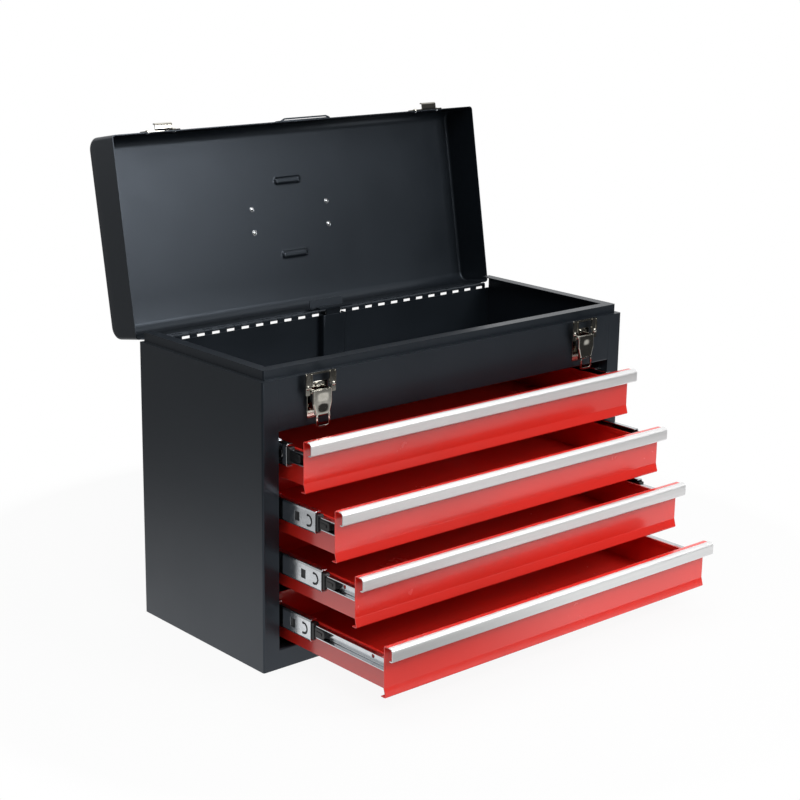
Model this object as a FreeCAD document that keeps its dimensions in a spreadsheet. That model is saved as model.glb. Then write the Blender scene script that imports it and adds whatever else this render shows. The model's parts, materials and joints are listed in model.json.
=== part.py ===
import FreeCAD, Part
import math
import os
import Sketcher

# Portable tool box with four drawers, a lift-up lid, an open top tray and
# two draw latches. Millimetres, +X to the right seen from the front, +Y to
# the back, +Z up, origin on the floor under the middle of the case. It is
# modelled as it stands: lid open, drawers pulled out by different amounts.

SIZES = {
    # Case of folded sheet
    "case_width": 520.0,
    "case_depth": 218.0,
    "case_height": 308.0,
    "sheet": 1.0,
    "bend_radius": 2.0,
    "post_width": 20.0,
    "post_return": 11.0,
    "rear_drop": 5.5,
    "shoulder": 5.0,
    "apron_height": 54.0,
    "kick_height": 22.0,
    "kick_return": 10.0,
    "floor_flange": 12.0,
    "flange_end_gap": 8.0,
    # Top tray, whose rim stands up as a neck inside the lid
    "neck_rise": 10.0,
    "tray_flange": 12.0,
    # Drawers, counted from the top
    "lip_clear": 1.8,
    "top_gap": 2.0,
    "drawer_gap": 4.2,
    "front_gap": 3.6,
    "lip_flare": 2.8,
    "lip_rise": 10.0,
    "lip_hem": 8.0,
    "nose_reach": 12.0,
    "nose_drop": 8.0,
    "nose_radius": 3.2,
    "pan_lift": 3.7,
    "rim_drop": 13.9,
    "pan_length": 203.0,
    "pan_hem": 5.0,
    "drawer_out_1": 35.7,
    "drawer_out_2": 84.9,
    "drawer_out_3": 116.3,
    "drawer_out_4": 160.5,
    # Bright pull strip along the top of each drawer front
    "strip_height": 14.4,
    "strip_sheet": 1.0,
    "strip_cover": 5.0,
    "strip_return": 4.5,
    "strip_overhang": 1.1,
    # Three-member slides between the drawers and the inner side panels
    "slide_thickness": 12.7,
    "slide_drop": 7.0,
    "slide_sheet": 1.2,
    "slide_bend": 2.4,
    "slide_gap": 0.2,
    "case_member_height": 26.4,
    "case_member_reach": 10.5,
    "case_member_inset": 9.0,
    "case_member_length": 195.0,
    "middle_member_offset": 2.4,
    "middle_member_reach": 7.7,
    "middle_member_inset": 21.0,
    "middle_member_length": 183.0,
    "drawer_member_height": 13.4,
    "drawer_member_reach": 7.1,
    "drawer_member_end_gap": 2.0,
    "slide_hole_radius": 2.2,
    "slide_hole_inset": 26.0,
    "slide_hole_step": 128.0,
    "window_inset": 25.0,
    "window_length": 7.2,
    "window_height": 9.4,
    "tongue_inset": 4.4,
    "tongue_length": 9.0,
    "tongue_height": 13.0,
    "tongue_slot": 2.2,
    "tongue_radius": 6.4,
    "bumper_overhang": 19.5,
    "bumper_depth": 34.0,
    "bumper_tip_height": 16.0,
    "bumper_wall_inset": 0.4,
    "runner_out_1": 30.0,
    "runner_out_2": 76.0,
    "runner_out_3": 86.0,
    "runner_out_4": 69.0,
    # Lock bar behind the drawers, pressed down by the closing lid
    "bar_width": 20.0,
    "bar_thickness": 2.0,
    "bar_from_wall": 5.0,
    "bar_foot": 8.0,
    "bar_gap": 0.3,
    "head_width": 48.0,
    "head_depth": 7.0,
    "head_rise": 6.5,
    "hook_width": 12.0,
    "hook_reach": 12.0,
    "hook_tip": 6.2,
    "hook_clear": 1.0,
    "channel_width": 33.0,
    "channel_depth": 8.5,
    "channel_drop": 3.0,
    "guide_height": 12.0,
    "guide_flange": 8.0,
    "guide_lift": 13.0,
    # Lid, a pressed sheet box, open below
    "lid_open_angle": 100.3,
    "lid_gap": 0.2,
    "lid_height": 50.5,
    "lid_radius": 14.0,
    "lid_end_radius": 4.0,
    "lid_rear_lift": 1.8,
    "dimple_length": 39.0,
    "dimple_width": 10.0,
    "dimple_depth": 2.2,
    "dimple_radius": 4.4,
    "dimple_place": 43.0,
    "striker_width": 48.0,
    "striker_reach": 11.0,
    "striker_leg": 11.0,
    "striker_gap": 0.3,
    "pull_width": 72.0,
    "pull_height": 11.0,
    "pull_reach": 5.0,
    "pull_lift": 1.3,
    "pull_slot_width": 44.0,
    "pull_slot_height": 2.6,
    # Piano hinge
    "hinge_inset": 10.0,
    "knuckle_pair_count": 25.0,
    "hinge_drop": 1.3,
    "barrel_radius": 2.0,
    "bore_radius": 1.31,
    "pin_radius": 1.14,
    "leaf_sheet": 0.8,
    "leaf_width": 15.0,
    "leaf_relief": 3.2,
    "knuckle_gap": 0.3,
    "pin_recess": 0.5,
    # Carrying handle on the lid
    "handle_span": 110.0,
    "pivot_height": 9.0,
    "rod_radius": 3.0,
    "rod_bend": 9.0,
    "rod_fit": 0.2,
    "stub_overhang": 2.0,
    "leg_gap": 1.0,
    "bail_drop": 36.0,
    "grip_radius": 7.0,
    "grip_length": 66.0,
    "grip_groove": 0.8,
    "grip_groove_width": 3.0,
    "grip_groove_count": 5.0,
    "grip_groove_step": 11.0,
    "bracket_width": 12.0,
    "bracket_length": 38.0,
    "bracket_sheet": 1.6,
    "bracket_wall": 2.4,
    "bracket_rivet_step": 27.0,
    # Draw latches on the apron and their catches on the lid
    "latch_inset": 68.0,
    "latch_pivot_out": 7.0,
    "latch_pivot_drop": 17.0,
    "link_drop": 10.0,
    "latch_pin_radius": 1.2,
    "latch_pin_fit": 0.1,
    "latch_sheet": 1.0,
    "base_width": 26.0,
    "base_top_drop": 9.0,
    "base_height": 37.0,
    "ear_half_width": 10.5,
    "ear_radius": 2.0,
    "cheek_half_width": 12.0,
    "cheek_radius": 2.2,
    "cheek_foot": 3.0,
    "face_distance": 2.6,
    "face_top": 1.0,
    "lever_width": 26.0,
    "lever_waist": 20.0,
    "lever_taper_top": 14.0,
    "lever_taper_foot": 24.0,
    "lever_length": 38.0,
    "loop_width": 18.0,
    "loop_band": 3.0,
    "loop_radius": 4.0,
    "pin_head": 0.9,
    "draw_width": 38.5,
    "draw_window": 20.0,
    "draw_slot": 26.8,
    "draw_top": 19.4,
    "draw_bar": 5.9,
    "draw_shoulder": 7.0,
    "draw_foot": 7.0,
    "draw_radius": 4.0,
    "draw_plate": 1.2,
    "lug_radius": 2.6,
    "trunnion_overhang": 0.5,
    "catch_foot_width": 46.0,
    "catch_sheet": 1.5,
    "catch_width": 22.0,
    "catch_reach": 9.0,
    "catch_lift": 3.2,
    "catch_height": 14.6,
    "catch_floor": 1.6,
    "catch_lip": 1.4,
    "catch_lip_rise": 2.5,
    "catch_throat": 4.0,
    "catch_shoulder": 10.0,
    "catch_foot_lift": 1.2,
    # Rivets
    "rivet_radius": 2.7,
    "rivet_height": 1.1,
    "catch_rivet_step": 34.0,
    "base_rivet_step": 30.0,
    # How far a cutting shape runs past what it cuts
    "overrun": 1.0,
}

DRAWERS = (1, 2, 3, 4)
SIDES = {"left": -1, "right": 1}
NODES = []


class Size:
    """A length or angle: its value and the sheet expression behind it."""

    def __init__(self, value, text):
        self.value = float(value)
        self.text = text

    def __add__(self, other):
        other = as_size(other)
        return Size(self.value + other.value, "(%s + %s)" % (self.text, other.text))

    def __sub__(self, other):
        other = as_size(other)
        return Size(self.value - other.value, "(%s - %s)" % (self.text, other.text))

    def __mul__(self, other):
        other = as_size(other)
        return Size(self.value * other.value, "(%s * %s)" % (self.text, other.text))

    def __truediv__(self, other):
        other = as_size(other)
        return Size(self.value / other.value, "(%s / %s)" % (self.text, other.text))

    def __neg__(self):
        return Size(-self.value, "(-%s)" % self.text)

    def __rsub__(self, other):
        return as_size(other) - self

    __radd__ = __add__
    __rmul__ = __mul__

    def cos(self):
        return Size(math.cos(math.radians(self.value)), "cos(%s)" % self.text)

    def sin(self):
        return Size(math.sin(math.radians(self.value)), "sin(%s)" % self.text)


def as_size(number):
    return number if isinstance(number, Size) else Size(number, "%g" % number)


doc = FreeCAD.newDocument("ToolBox")
sheet_object = doc.addObject("Spreadsheet::Sheet", "Sizes")
for row, (alias, number) in enumerate(SIZES.items(), 1):
    sheet_object.set("A%d" % row, alias)
    sheet_object.set("B%d" % row, "%g" % number)
    sheet_object.setAlias("B%d" % row, alias)
doc.recompute()


class Sheet:
    """Gives each cell of the sheet as a Size, by its alias."""

    def __getattr__(self, alias):
        return Size(SIZES[alias], "Sizes.%s" % alias)


s = Sheet()

# Planes that many pieces share
half_width = s.case_width / 2
front = -(s.case_depth / 2)
rear = s.case_depth / 2
opening_half = half_width - s.post_width
inner_half = half_width - s.sheet
neck_half = half_width - s.shoulder
neck_front = front + s.shoulder
tray_floor = s.case_height - s.apron_height
rear_top = s.case_height - s.rear_drop
hinge_y = rear + s.barrel_radius
hinge_z = s.case_height - s.hinge_drop
lid_bottom = s.case_height + s.lid_gap
lid_top = lid_bottom + s.lid_height
pan_half = opening_half - s.slide_thickness
latch_place = half_width - s.latch_inset
hinge_length = s.case_width - s.hinge_inset * 2

# Heights that the drawers share; the stack fills the room between rail and tray
lowest_lip = s.kick_height + s.lip_clear
drawer_pitch = (tray_floor - s.top_gap - lowest_lip + s.drawer_gap) / len(DRAWERS)
front_height = drawer_pitch - s.drawer_gap
pan_rim = front_height - s.rim_drop
slide_middle = pan_rim - s.slide_drop


def lip_height(drawer):
    return lowest_lip + drawer_pitch * (len(DRAWERS) - drawer)


def numbered(stem, drawer):
    return getattr(s, "%s_%d" % (stem, drawer))


# Helpers for sketches and features

def bind(thing, path, size):
    thing.setExpression(path, as_size(size).text)


def new_body(name):
    return doc.addObject("PartDesign::Body", name)


def origin_part(body, role):
    return next(item for item in body.Origin.OriginFeatures if item.Role == role)


def toward(corner, other, radius):
    """The point one radius from a square corner along the side to another corner."""
    across = as_size(other[0]).value - as_size(corner[0]).value
    along = as_size(other[1]).value - as_size(corner[1]).value
    if abs(across) > abs(along):
        return (corner[0] + radius * math.copysign(1, across), corner[1])
    return (corner[0], corner[1] + radius * math.copysign(1, along))


def flat(point):
    return FreeCAD.Vector(as_size(point[0]).value, as_size(point[1]).value, 0)


def hold_point(sketch, geometry, end, point):
    """Fix one end of a drawn line, or a centre, at a point of the sheet."""
    for kind, size in zip(("DistanceX", "DistanceY"), point):
        size = as_size(size)
        index = sketch.addConstraint(Sketcher.Constraint(kind, geometry, end, size.value))
        bind(sketch, "Constraints[%d]" % index, size)


def draw_outline(sketch, corners):
    """A closed outline of straight sides; a corner with a third value is rounded by it."""
    ends = []
    for place, corner in enumerate(corners):
        if len(corner) == 2:
            ends.append((corner, corner))
            continue
        before = corners[place - 1]
        after = corners[(place + 1) % len(corners)]
        ends.append((toward(corner, before, corner[2]), toward(corner, after, corner[2])))
    sides = []
    for place in range(len(corners)):
        start = ends[place][1]
        finish = ends[(place + 1) % len(corners)][0]
        side = sketch.addGeometry(Part.LineSegment(flat(start), flat(finish)))
        hold_point(sketch, side, 1, start)
        hold_point(sketch, side, 2, finish)
        sides.append(side)
    for place, corner in enumerate(corners):
        if len(corner) == 3:
            round_corner(sketch, corner, ends[place], sides[place - 1], sides[place])


def round_corner(sketch, corner, ends, side_before, side_after):
    """The arc that joins two sides at a rounded corner."""
    tip = flat(corner)
    start, finish = flat(ends[0]), flat(ends[1])
    centre = start + finish - tip
    turn = (tip - start).cross(finish - tip).z
    first, last = (start, finish) if turn > 0 else (finish, start)
    angles = [math.atan2(end.y - centre.y, end.x - centre.x) for end in (first, last)]
    radius = as_size(corner[2])
    circle = Part.Circle(centre, FreeCAD.Vector(0, 0, 1), radius.value)
    arc = sketch.addGeometry(Part.ArcOfCircle(circle, angles[0], angles[1]))
    arc_start, arc_end = (1, 2) if turn > 0 else (2, 1)
    sketch.addConstraint(Sketcher.Constraint("Coincident", side_before, 2, arc, arc_start))
    sketch.addConstraint(Sketcher.Constraint("Coincident", arc, arc_end, side_after, 1))
    index = sketch.addConstraint(Sketcher.Constraint("Radius", arc, radius.value))
    bind(sketch, "Constraints[%d]" % index, radius)


def draw_circle(sketch, centre, radius):
    circle = Part.Circle(flat(centre), FreeCAD.Vector(0, 0, 1), as_size(radius).value)
    geometry = sketch.addGeometry(circle)
    hold_point(sketch, geometry, 3, centre)
    index = sketch.addConstraint(Sketcher.Constraint("Radius", geometry, as_size(radius).value))
    bind(sketch, "Constraints[%d]" % index, radius)


def new_sketch(body, plane, level):
    """A sketch on an origin plane of the body, moved along the plane's axis to a level."""
    sketch = body.newObject("Sketcher::SketchObject", body.Name + "_sketch")
    sketch.AttachmentSupport = [(origin_part(body, plane + "_Plane"), "")]
    sketch.MapMode = "FlatFace"
    bind(sketch, ".AttachmentOffset.Base.z", level)
    return sketch


def slab(body, plane, outlines, low, high, cut=False):
    """Add, or cut, outlines and circles of one plane between two levels of its axis.

    The XZ plane faces the front, so there a level runs against its axis.
    """
    level = -as_size(high) if plane == "XZ" else as_size(low)
    sketch = new_sketch(body, plane, level)
    for outline in outlines:
        if isinstance(outline[0], tuple) and len(outline) == 2:
            draw_circle(sketch, outline[0], outline[1])
        else:
            draw_outline(sketch, outline)
    kind = "PartDesign::Pocket" if cut else "PartDesign::Pad"
    feature = body.newObject(kind, body.Name + ("_cut" if cut else "_pad"))
    feature.Profile = sketch
    feature.Reversed = cut
    bind(feature, "Length", as_size(high) - low)
    return feature


def cut(body, plane, outlines, low, high):
    return slab(body, plane, outlines, low, high, cut=True)


def repeat(body, feature, axis, pitch, count):
    """Repeat a feature of the body along one of its axes."""
    pattern = body.newObject("PartDesign::LinearPattern", body.Name + "_pattern")
    pattern.Originals = [feature]
    pattern.Direction = (origin_part(body, axis + "_Axis"), [""])
    bind(pattern, "Length", pitch * (count - 1))
    bind(pattern, "Occurrences", count)
    body.Tip = pattern
    return pattern


def rectangle(left, right, bottom, top, *radius):
    """Corners of a rectangle, all rounded when a radius is given."""
    corners = ((left, bottom), (right, bottom), (right, top), (left, top))
    return [corner + radius for corner in corners]


# How far in the flats of a twelve-sided round form lie, as a share of its circle
ROUND_FLAT = math.cos(math.pi / 12)


def many_sided(centre, radius, sides=12):
    """Corners of a regular polygon inside a circle, for a small round form that repeats."""
    corners = []
    for place in range(sides):
        angle = math.radians(360 / sides * (place + 0.5))
        corners.append((centre[0] + radius * math.cos(angle), centre[1] + radius * math.sin(angle)))
    return corners


def chorded(corner, radius, across, up, chords=2):
    """A rounded square corner as a few chords, for a form that repeats.

    The signs across and up lead from the corner to the middle of its round. The
    first point lies on the level side and the last one on the upright side.
    """
    points = []
    for place in range(chords + 1):
        angle = math.radians(90 / chords * place)
        level = corner[0] + radius * (across * (1 - math.sin(angle)))
        upright = corner[1] + radius * (up * (1 - math.cos(angle)))
        points.append((level, upright))
    return points


def chorded_rectangle(left, right, bottom, top, radius):
    """Corners of a rectangle whose rounds are chords."""
    return (
        chorded((left, bottom), radius, 1, 1)[::-1]
        + chorded((right, bottom), radius, -1, 1)
        + chorded((right, top), radius, -1, -1)[::-1]
        + chorded((left, top), radius, 1, -1)
    )


def channel(web, tip, middle, height, sheet, bend):
    """Section of a C channel: web on one side, flanges that end at the tip."""
    way = 1 if as_size(tip).value > as_size(web).value else -1
    inner_web = web + sheet * way
    top = middle + height / 2
    bottom = middle - height / 2
    inner_bend = bend - sheet
    return (
        [(tip, bottom)]
        + chorded((web, bottom), bend, way, 1)
        + chorded((web, top), bend, way, -1)[::-1]
        + [(tip, top), (tip, top - sheet)]
        + chorded((inner_web, top - sheet), inner_bend, way, -1)
        + chorded((inner_web, bottom + sheet), inner_bend, way, 1)[::-1]
        + [(tip, bottom + sheet)]
    )


def combine(kind, name, property_name, things):
    result = doc.addObject(kind, name)
    setattr(result, property_name, things)
    return result


def subtract(name, base, tool):
    result = doc.addObject("Part::Cut", name)
    result.Base = base
    result.Tool = tool
    return result


def mirror(source):
    """The same piece on the other side of the box."""
    result = doc.addObject("Part::Mirroring", source.Name + "_mirror")
    result.Source = source
    result.Normal = FreeCAD.Vector(1, 0, 0)
    return result


def both_sides(name, right_piece):
    return combine("Part::Compound", name, "Links", [right_piece, mirror(right_piece)])


def place(thing, x=0, y=0, z=0):
    for axis, size in zip("xyz", (x, y, z)):
        bind(thing, ".Placement.Base." + axis, size)


def turn(thing, axis, angle):
    thing.Placement = FreeCAD.Placement(FreeCAD.Vector(), FreeCAD.Rotation(axis, 1))
    bind(thing, ".Placement.Rotation.Angle", angle)


def add_node(thing, label, x=0, y=0, z=0):
    thing.Label = label
    place(thing, x, y, z)
    NODES.append(thing)


def add_lid_node(thing, label):
    """A node drawn with the lid closed, about the hinge axis, and opened with the lid."""
    turn(thing, FreeCAD.Vector(1, 0, 0), -s.lid_open_angle)
    add_node(thing, label, 0, hinge_y, hinge_z)


def rivet(name, x, y, z, facing):
    """A low rivet head on a face; facing is the way the head stands."""
    head = doc.addObject("Part::Prism", name)
    head.Polygon = 12
    bind(head, "Circumradius", s.rivet_radius)
    bind(head, "Height", s.rivet_height)
    head.Placement = FreeCAD.Placement(
        FreeCAD.Vector(), FreeCAD.Rotation(FreeCAD.Vector(0, 0, 1), facing)
    )
    place(head, x, y, z)
    return head


FRONTWARD = FreeCAD.Vector(0, -1, 0)
REARWARD = FreeCAD.Vector(0, 1, 0)
DOWNWARD = FreeCAD.Vector(0, 0, -1)


# Case

def make_case_shell():
    """Back, sides and front posts bent from one sheet, with the shoulder on top."""
    body = new_body("CaseShell")
    return_end = front + s.sheet + s.post_return
    bend = s.bend_radius
    inner_bend = s.bend_radius - s.sheet
    half = [
        (opening_half, return_end),
        (opening_half, front),
        (half_width, front, bend),
        (half_width, rear, bend),
    ]
    inner = [
        (inner_half, rear - s.sheet, inner_bend),
        (inner_half, front + s.sheet, inner_bend),
        (opening_half + s.sheet, front + s.sheet),
        (opening_half + s.sheet, return_end),
    ]
    outline = half + flipped(half) + flipped(inner) + inner
    slab(body, "XY", [outline], 0, s.case_height)
    for side in SIDES.values():
        returns = rectangle(
            side * (opening_half - s.overrun),
            side * (opening_half + s.sheet),
            front + s.sheet,
            return_end + s.overrun,
        )
        cut(body, "XY", [returns], tray_floor, s.case_height + s.overrun)
    over_rear = rectangle(-inner_half, inner_half, rear_top, s.case_height + s.overrun)
    cut(body, "XZ", [over_rear], rear - s.sheet, rear + s.overrun)
    for side in SIDES.values():
        ledge = [
            (side * opening_half, front + s.sheet),
            (side * inner_half, front + s.sheet),
            (side * inner_half, rear - s.sheet),
            (side * neck_half, rear - s.sheet),
            (side * neck_half, neck_front),
            (side * opening_half, neck_front),
        ]
        slab(body, "XY", [ledge], s.case_height - s.sheet, s.case_height)
    add_node(body, "case_shell")


def flipped(corners):
    """Corners mirrored to the other side, in the order that goes on round the outline."""
    return [(-corner[0],) + tuple(corner[1:]) for corner in reversed(corners)]


def make_case_bottom():
    """Floor sheet, notched round the posts, with upturned flanges and the kick rail."""
    body = new_body("CaseBottom")
    return_end = front + s.sheet + s.post_return
    right = [
        (opening_half, front),
        (opening_half, return_end),
        (inner_half, return_end),
        (inner_half, rear - s.sheet, s.bend_radius - s.sheet),
    ]
    slab(body, "XY", [right + flipped(right)], 0, s.sheet)
    for side in SIDES.values():
        flange = rectangle(
            side * (inner_half - s.sheet),
            side * inner_half,
            return_end + s.flange_end_gap,
            rear - s.flange_end_gap,
        )
        slab(body, "XY", [flange], s.sheet, s.sheet + s.floor_flange)
    back_flange = rectangle(-opening_half, opening_half, rear - s.sheet - s.sheet, rear - s.sheet)
    slab(body, "XY", [back_flange], s.sheet, s.sheet + s.floor_flange)
    rail = [
        (front, 0),
        (front, s.kick_height, s.bend_radius),
        (front + s.kick_return, s.kick_height),
        (front + s.kick_return, s.kick_height - s.sheet),
        (front + s.sheet, s.kick_height - s.sheet, s.bend_radius - s.sheet),
        (front + s.sheet, 0),
    ]
    slab(body, "YZ", [rail], -opening_half, opening_half)
    add_node(body, "case_bottom")


def make_front_apron():
    """Panel above the drawers, with a ledge on top and a return below, up to the tray."""
    body = new_body("FrontApron")
    section = [
        (neck_front, tray_floor),
        (front, tray_floor, s.bend_radius),
        (front, s.case_height),
        (neck_front, s.case_height),
        (neck_front, s.case_height - s.sheet),
        (front + s.sheet, s.case_height - s.sheet),
        (front + s.sheet, tray_floor + s.sheet, s.bend_radius - s.sheet),
        (neck_front, tray_floor + s.sheet),
    ]
    slab(body, "YZ", [section], -opening_half, opening_half)
    add_node(body, "front_apron")


def make_tray():
    """Open tray under the lid; its rim stands above the shoulder and turns inwards."""
    body = new_body("Tray")
    rim = s.case_height + s.neck_rise
    tray_rear = rear - s.sheet
    inside_rear = tray_rear - s.sheet
    outside = [
        (-neck_half, tray_rear),
        (-neck_half, neck_front, s.bend_radius),
        (neck_half, neck_front, s.bend_radius),
        (neck_half, tray_rear),
    ]
    slab(body, "XY", [outside], tray_floor, rim)
    hollow = [
        (s.sheet - neck_half, inside_rear),
        (s.sheet - neck_half, neck_front + s.sheet, s.bend_radius - s.sheet),
        (neck_half - s.sheet, neck_front + s.sheet, s.bend_radius - s.sheet),
        (neck_half - s.sheet, inside_rear),
    ]
    cut(body, "XY", [hollow], tray_floor + s.sheet, rim - s.sheet)
    mouth = rectangle(
        s.tray_flange - neck_half,
        neck_half - s.tray_flange,
        neck_front + s.tray_flange,
        inside_rear,
    )
    cut(body, "XY", [mouth], rim - s.sheet - s.sheet, rim + s.overrun)
    over_rear = rectangle(
        -neck_half - s.overrun, neck_half + s.overrun, rear_top, rim + s.overrun
    )
    cut(body, "XZ", [over_rear], inside_rear, tray_rear + s.overrun)
    slot = rectangle(
        -(s.bar_width / 2) - s.bar_gap,
        s.bar_width / 2 + s.bar_gap,
        bar_front - s.bar_gap,
        bar_back + s.bar_gap,
    )
    cut(body, "XY", [slot], tray_floor - s.overrun, tray_floor + s.sheet + s.overrun)
    add_node(body, "tray")


def make_slide_panels():
    """Inner side panels that carry the slides, bent out to the case sides at both ends."""
    body = new_body("SlidePanel")
    panel_front = front + s.sheet + s.post_return
    rear_tip = inner_half - s.bend_radius + s.sheet
    section = [
        (inner_half, panel_front),
        (opening_half, panel_front, s.bend_radius),
        (opening_half, rear - s.sheet, s.bend_radius),
        (rear_tip, rear - s.sheet),
        (rear_tip, rear - s.sheet - s.sheet),
        (opening_half + s.sheet, rear - s.sheet - s.sheet, s.bend_radius - s.sheet),
        (opening_half + s.sheet, panel_front + s.sheet, s.bend_radius - s.sheet),
        (inner_half, panel_front + s.sheet),
    ]
    slab(body, "XY", [section], s.sheet, tray_floor)
    add_node(body, "slide_panel_right")
    add_node(mirror(body), "slide_panel_left")


# Lock

bar_back = rear - s.sheet - s.bar_from_wall
bar_front = bar_back - s.bar_thickness


def hook_arm(drawer):
    """Underside of the arm that reaches over a drawer's rear wall, lock up."""
    return lip_height(drawer) + pan_rim + s.hook_clear + s.hook_tip


def make_lock_bar():
    """Flat bar with a pressing head and a hook for each drawer."""
    body = new_body("LockBar")
    head_base = s.case_height + s.head_rise - s.bar_thickness
    half_bar = s.bar_width / 2
    foot = hook_arm(len(DRAWERS)) - s.bar_foot
    slab(body, "XZ", [rectangle(-half_bar, half_bar, foot, head_base)], bar_front, bar_back)
    head = rectangle(-(s.head_width / 2), s.head_width / 2, bar_back - s.head_depth, bar_back)
    slab(body, "XY", [head], head_base, head_base + s.bar_thickness)
    for drawer in DRAWERS:
        arm = hook_arm(drawer)
        tip_front = bar_front - s.hook_reach
        hook = [
            (bar_front, arm),
            (bar_front, arm + s.bar_thickness),
            (tip_front, arm + s.bar_thickness, s.bar_thickness / 2),
            (tip_front, arm - s.hook_tip),
            (tip_front + s.bar_thickness, arm - s.hook_tip),
            (tip_front + s.bar_thickness, arm),
        ]
        slab(body, "YZ", [hook], -(s.hook_width / 2), s.hook_width / 2)
    add_node(body, "lock_bar")


def make_lock_channel():
    """Cover that keeps what lies in the tray away from the bar."""
    body = new_body("LockChannel")
    wall = rear - s.sheet - s.sheet
    half = s.channel_width / 2
    cover = wall - s.channel_depth
    section = [
        (half, wall),
        (half, cover, s.bend_radius),
        (-half, cover, s.bend_radius),
        (-half, wall),
        (s.sheet - half, wall),
        (s.sheet - half, cover + s.sheet, s.bend_radius - s.sheet),
        (half - s.sheet, cover + s.sheet, s.bend_radius - s.sheet),
        (half - s.sheet, wall),
    ]
    slab(body, "XY", [section], tray_floor + s.sheet, s.case_height - s.channel_drop)
    add_node(body, "lock_channel")


def make_lock_guides():
    """Two hat-shaped straps on the case back that the bar slides in, each above a hook."""
    wall = rear - s.sheet
    half = s.bar_width / 2 + s.bar_gap
    strap = bar_front - s.bar_gap
    outside = [
        (half + s.guide_flange, wall),
        (half + s.guide_flange, wall - s.sheet),
        (half + s.sheet, wall - s.sheet),
        (half + s.sheet, strap - s.sheet),
    ]
    inside = [
        (-half, wall),
        (-half, strap),
    ]
    section = outside + flipped(outside) + inside + flipped(inside)
    guides = []
    for drawer in (4, 2):
        height = hook_arm(drawer) + s.bar_thickness + s.guide_lift
        body = new_body("LockGuide")
        slab(body, "XY", [section], height, height + s.guide_height)
        guides.append(body)
    add_node(combine("Part::Compound", "LockGuides", "Links", guides), "lock_guides")


# Hinge

def make_hinge():
    """Piano hinge: two combed leaves rolled round one pin behind the case."""
    pitch = hinge_length / s.knuckle_pair_count
    half = hinge_length / 2
    strap_back = s.barrel_radius - s.leaf_sheet
    relief = s.barrel_radius + s.leaf_relief
    gap = pitch / 2 + s.knuckle_gap
    leaves = (
        ("HingeLeafCase", -1, pitch / 2 - half, s.knuckle_pair_count),
        ("HingeLeafLid", 1, -half, s.knuckle_pair_count + 1),
    )
    bodies = {}
    for name, way, first_gap, count in leaves:
        body = new_body(name)
        strap = rectangle(-s.barrel_radius, -strap_back, 0, way * s.leaf_width)
        slab(body, "YZ", [strap], -half, half)
        slab(body, "YZ", [many_sided((0, 0), s.barrel_radius, 8)], -half, half)
        bore = many_sided((0, 0), s.bore_radius, 8)
        cut(body, "YZ", [bore], -half - s.overrun, half + s.overrun)
        notch = rectangle(
            -s.barrel_radius - s.overrun,
            s.barrel_radius + s.overrun,
            -way * (s.barrel_radius + s.overrun),
            way * relief,
        )
        notched = cut(body, "YZ", [notch], first_gap - gap / 2, first_gap + gap / 2)
        repeat(body, notched, "X", pitch, count)
        bodies[name] = body
    add_node(bodies["HingeLeafCase"], "hinge_leaf_case", 0, hinge_y, hinge_z)
    add_lid_node(bodies["HingeLeafLid"], "hinge_leaf_lid")
    pin = doc.addObject("Part::Cylinder", "HingePin")
    turn(pin, FreeCAD.Vector(0, 1, 0), Size(90, "90"))
    bind(pin, "Radius", s.pin_radius)
    bind(pin, "Height", hinge_length - s.pin_recess * 2)
    add_node(pin, "hinge_pin", s.pin_recess - half, hinge_y, hinge_z)


# Lid, drawn closed with the hinge axis as origin

def lid_y(y):
    return y - hinge_y


def lid_z(z):
    return z - hinge_z


def pressed_box(name, inset, bottom, kind, ease):
    """Box with rounded top edges, one inset inside the lid, whose end edges are eased."""
    across = half_width - inset
    low = lid_z(bottom)
    profile = dome(lid_y(front + inset), lid_y(rear - inset), low, lid_z(lid_top - inset),
                   s.lid_radius - inset)
    body = new_body(name)
    pad = slab(body, "YZ", [profile], -across, across)
    doc.recompute()
    rims = []
    for place, edge in enumerate(pad.Shape.Edges, 1):
        box = edge.BoundBox
        if box.XLength < s.sheet.value / 2 and box.ZMax > low.value + s.sheet.value / 2:
            rims.append("Edge%d" % place)
    ends = body.newObject("PartDesign::" + kind, name + "_ends")
    ends.Base = (pad, rims)
    bind(ends, "Radius" if kind == "Fillet" else "Size", ease)
    return body


def dome(left, right, low, high, radius):
    return [(left, low), (right, low), (right, high, radius), (left, high, radius)]


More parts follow.
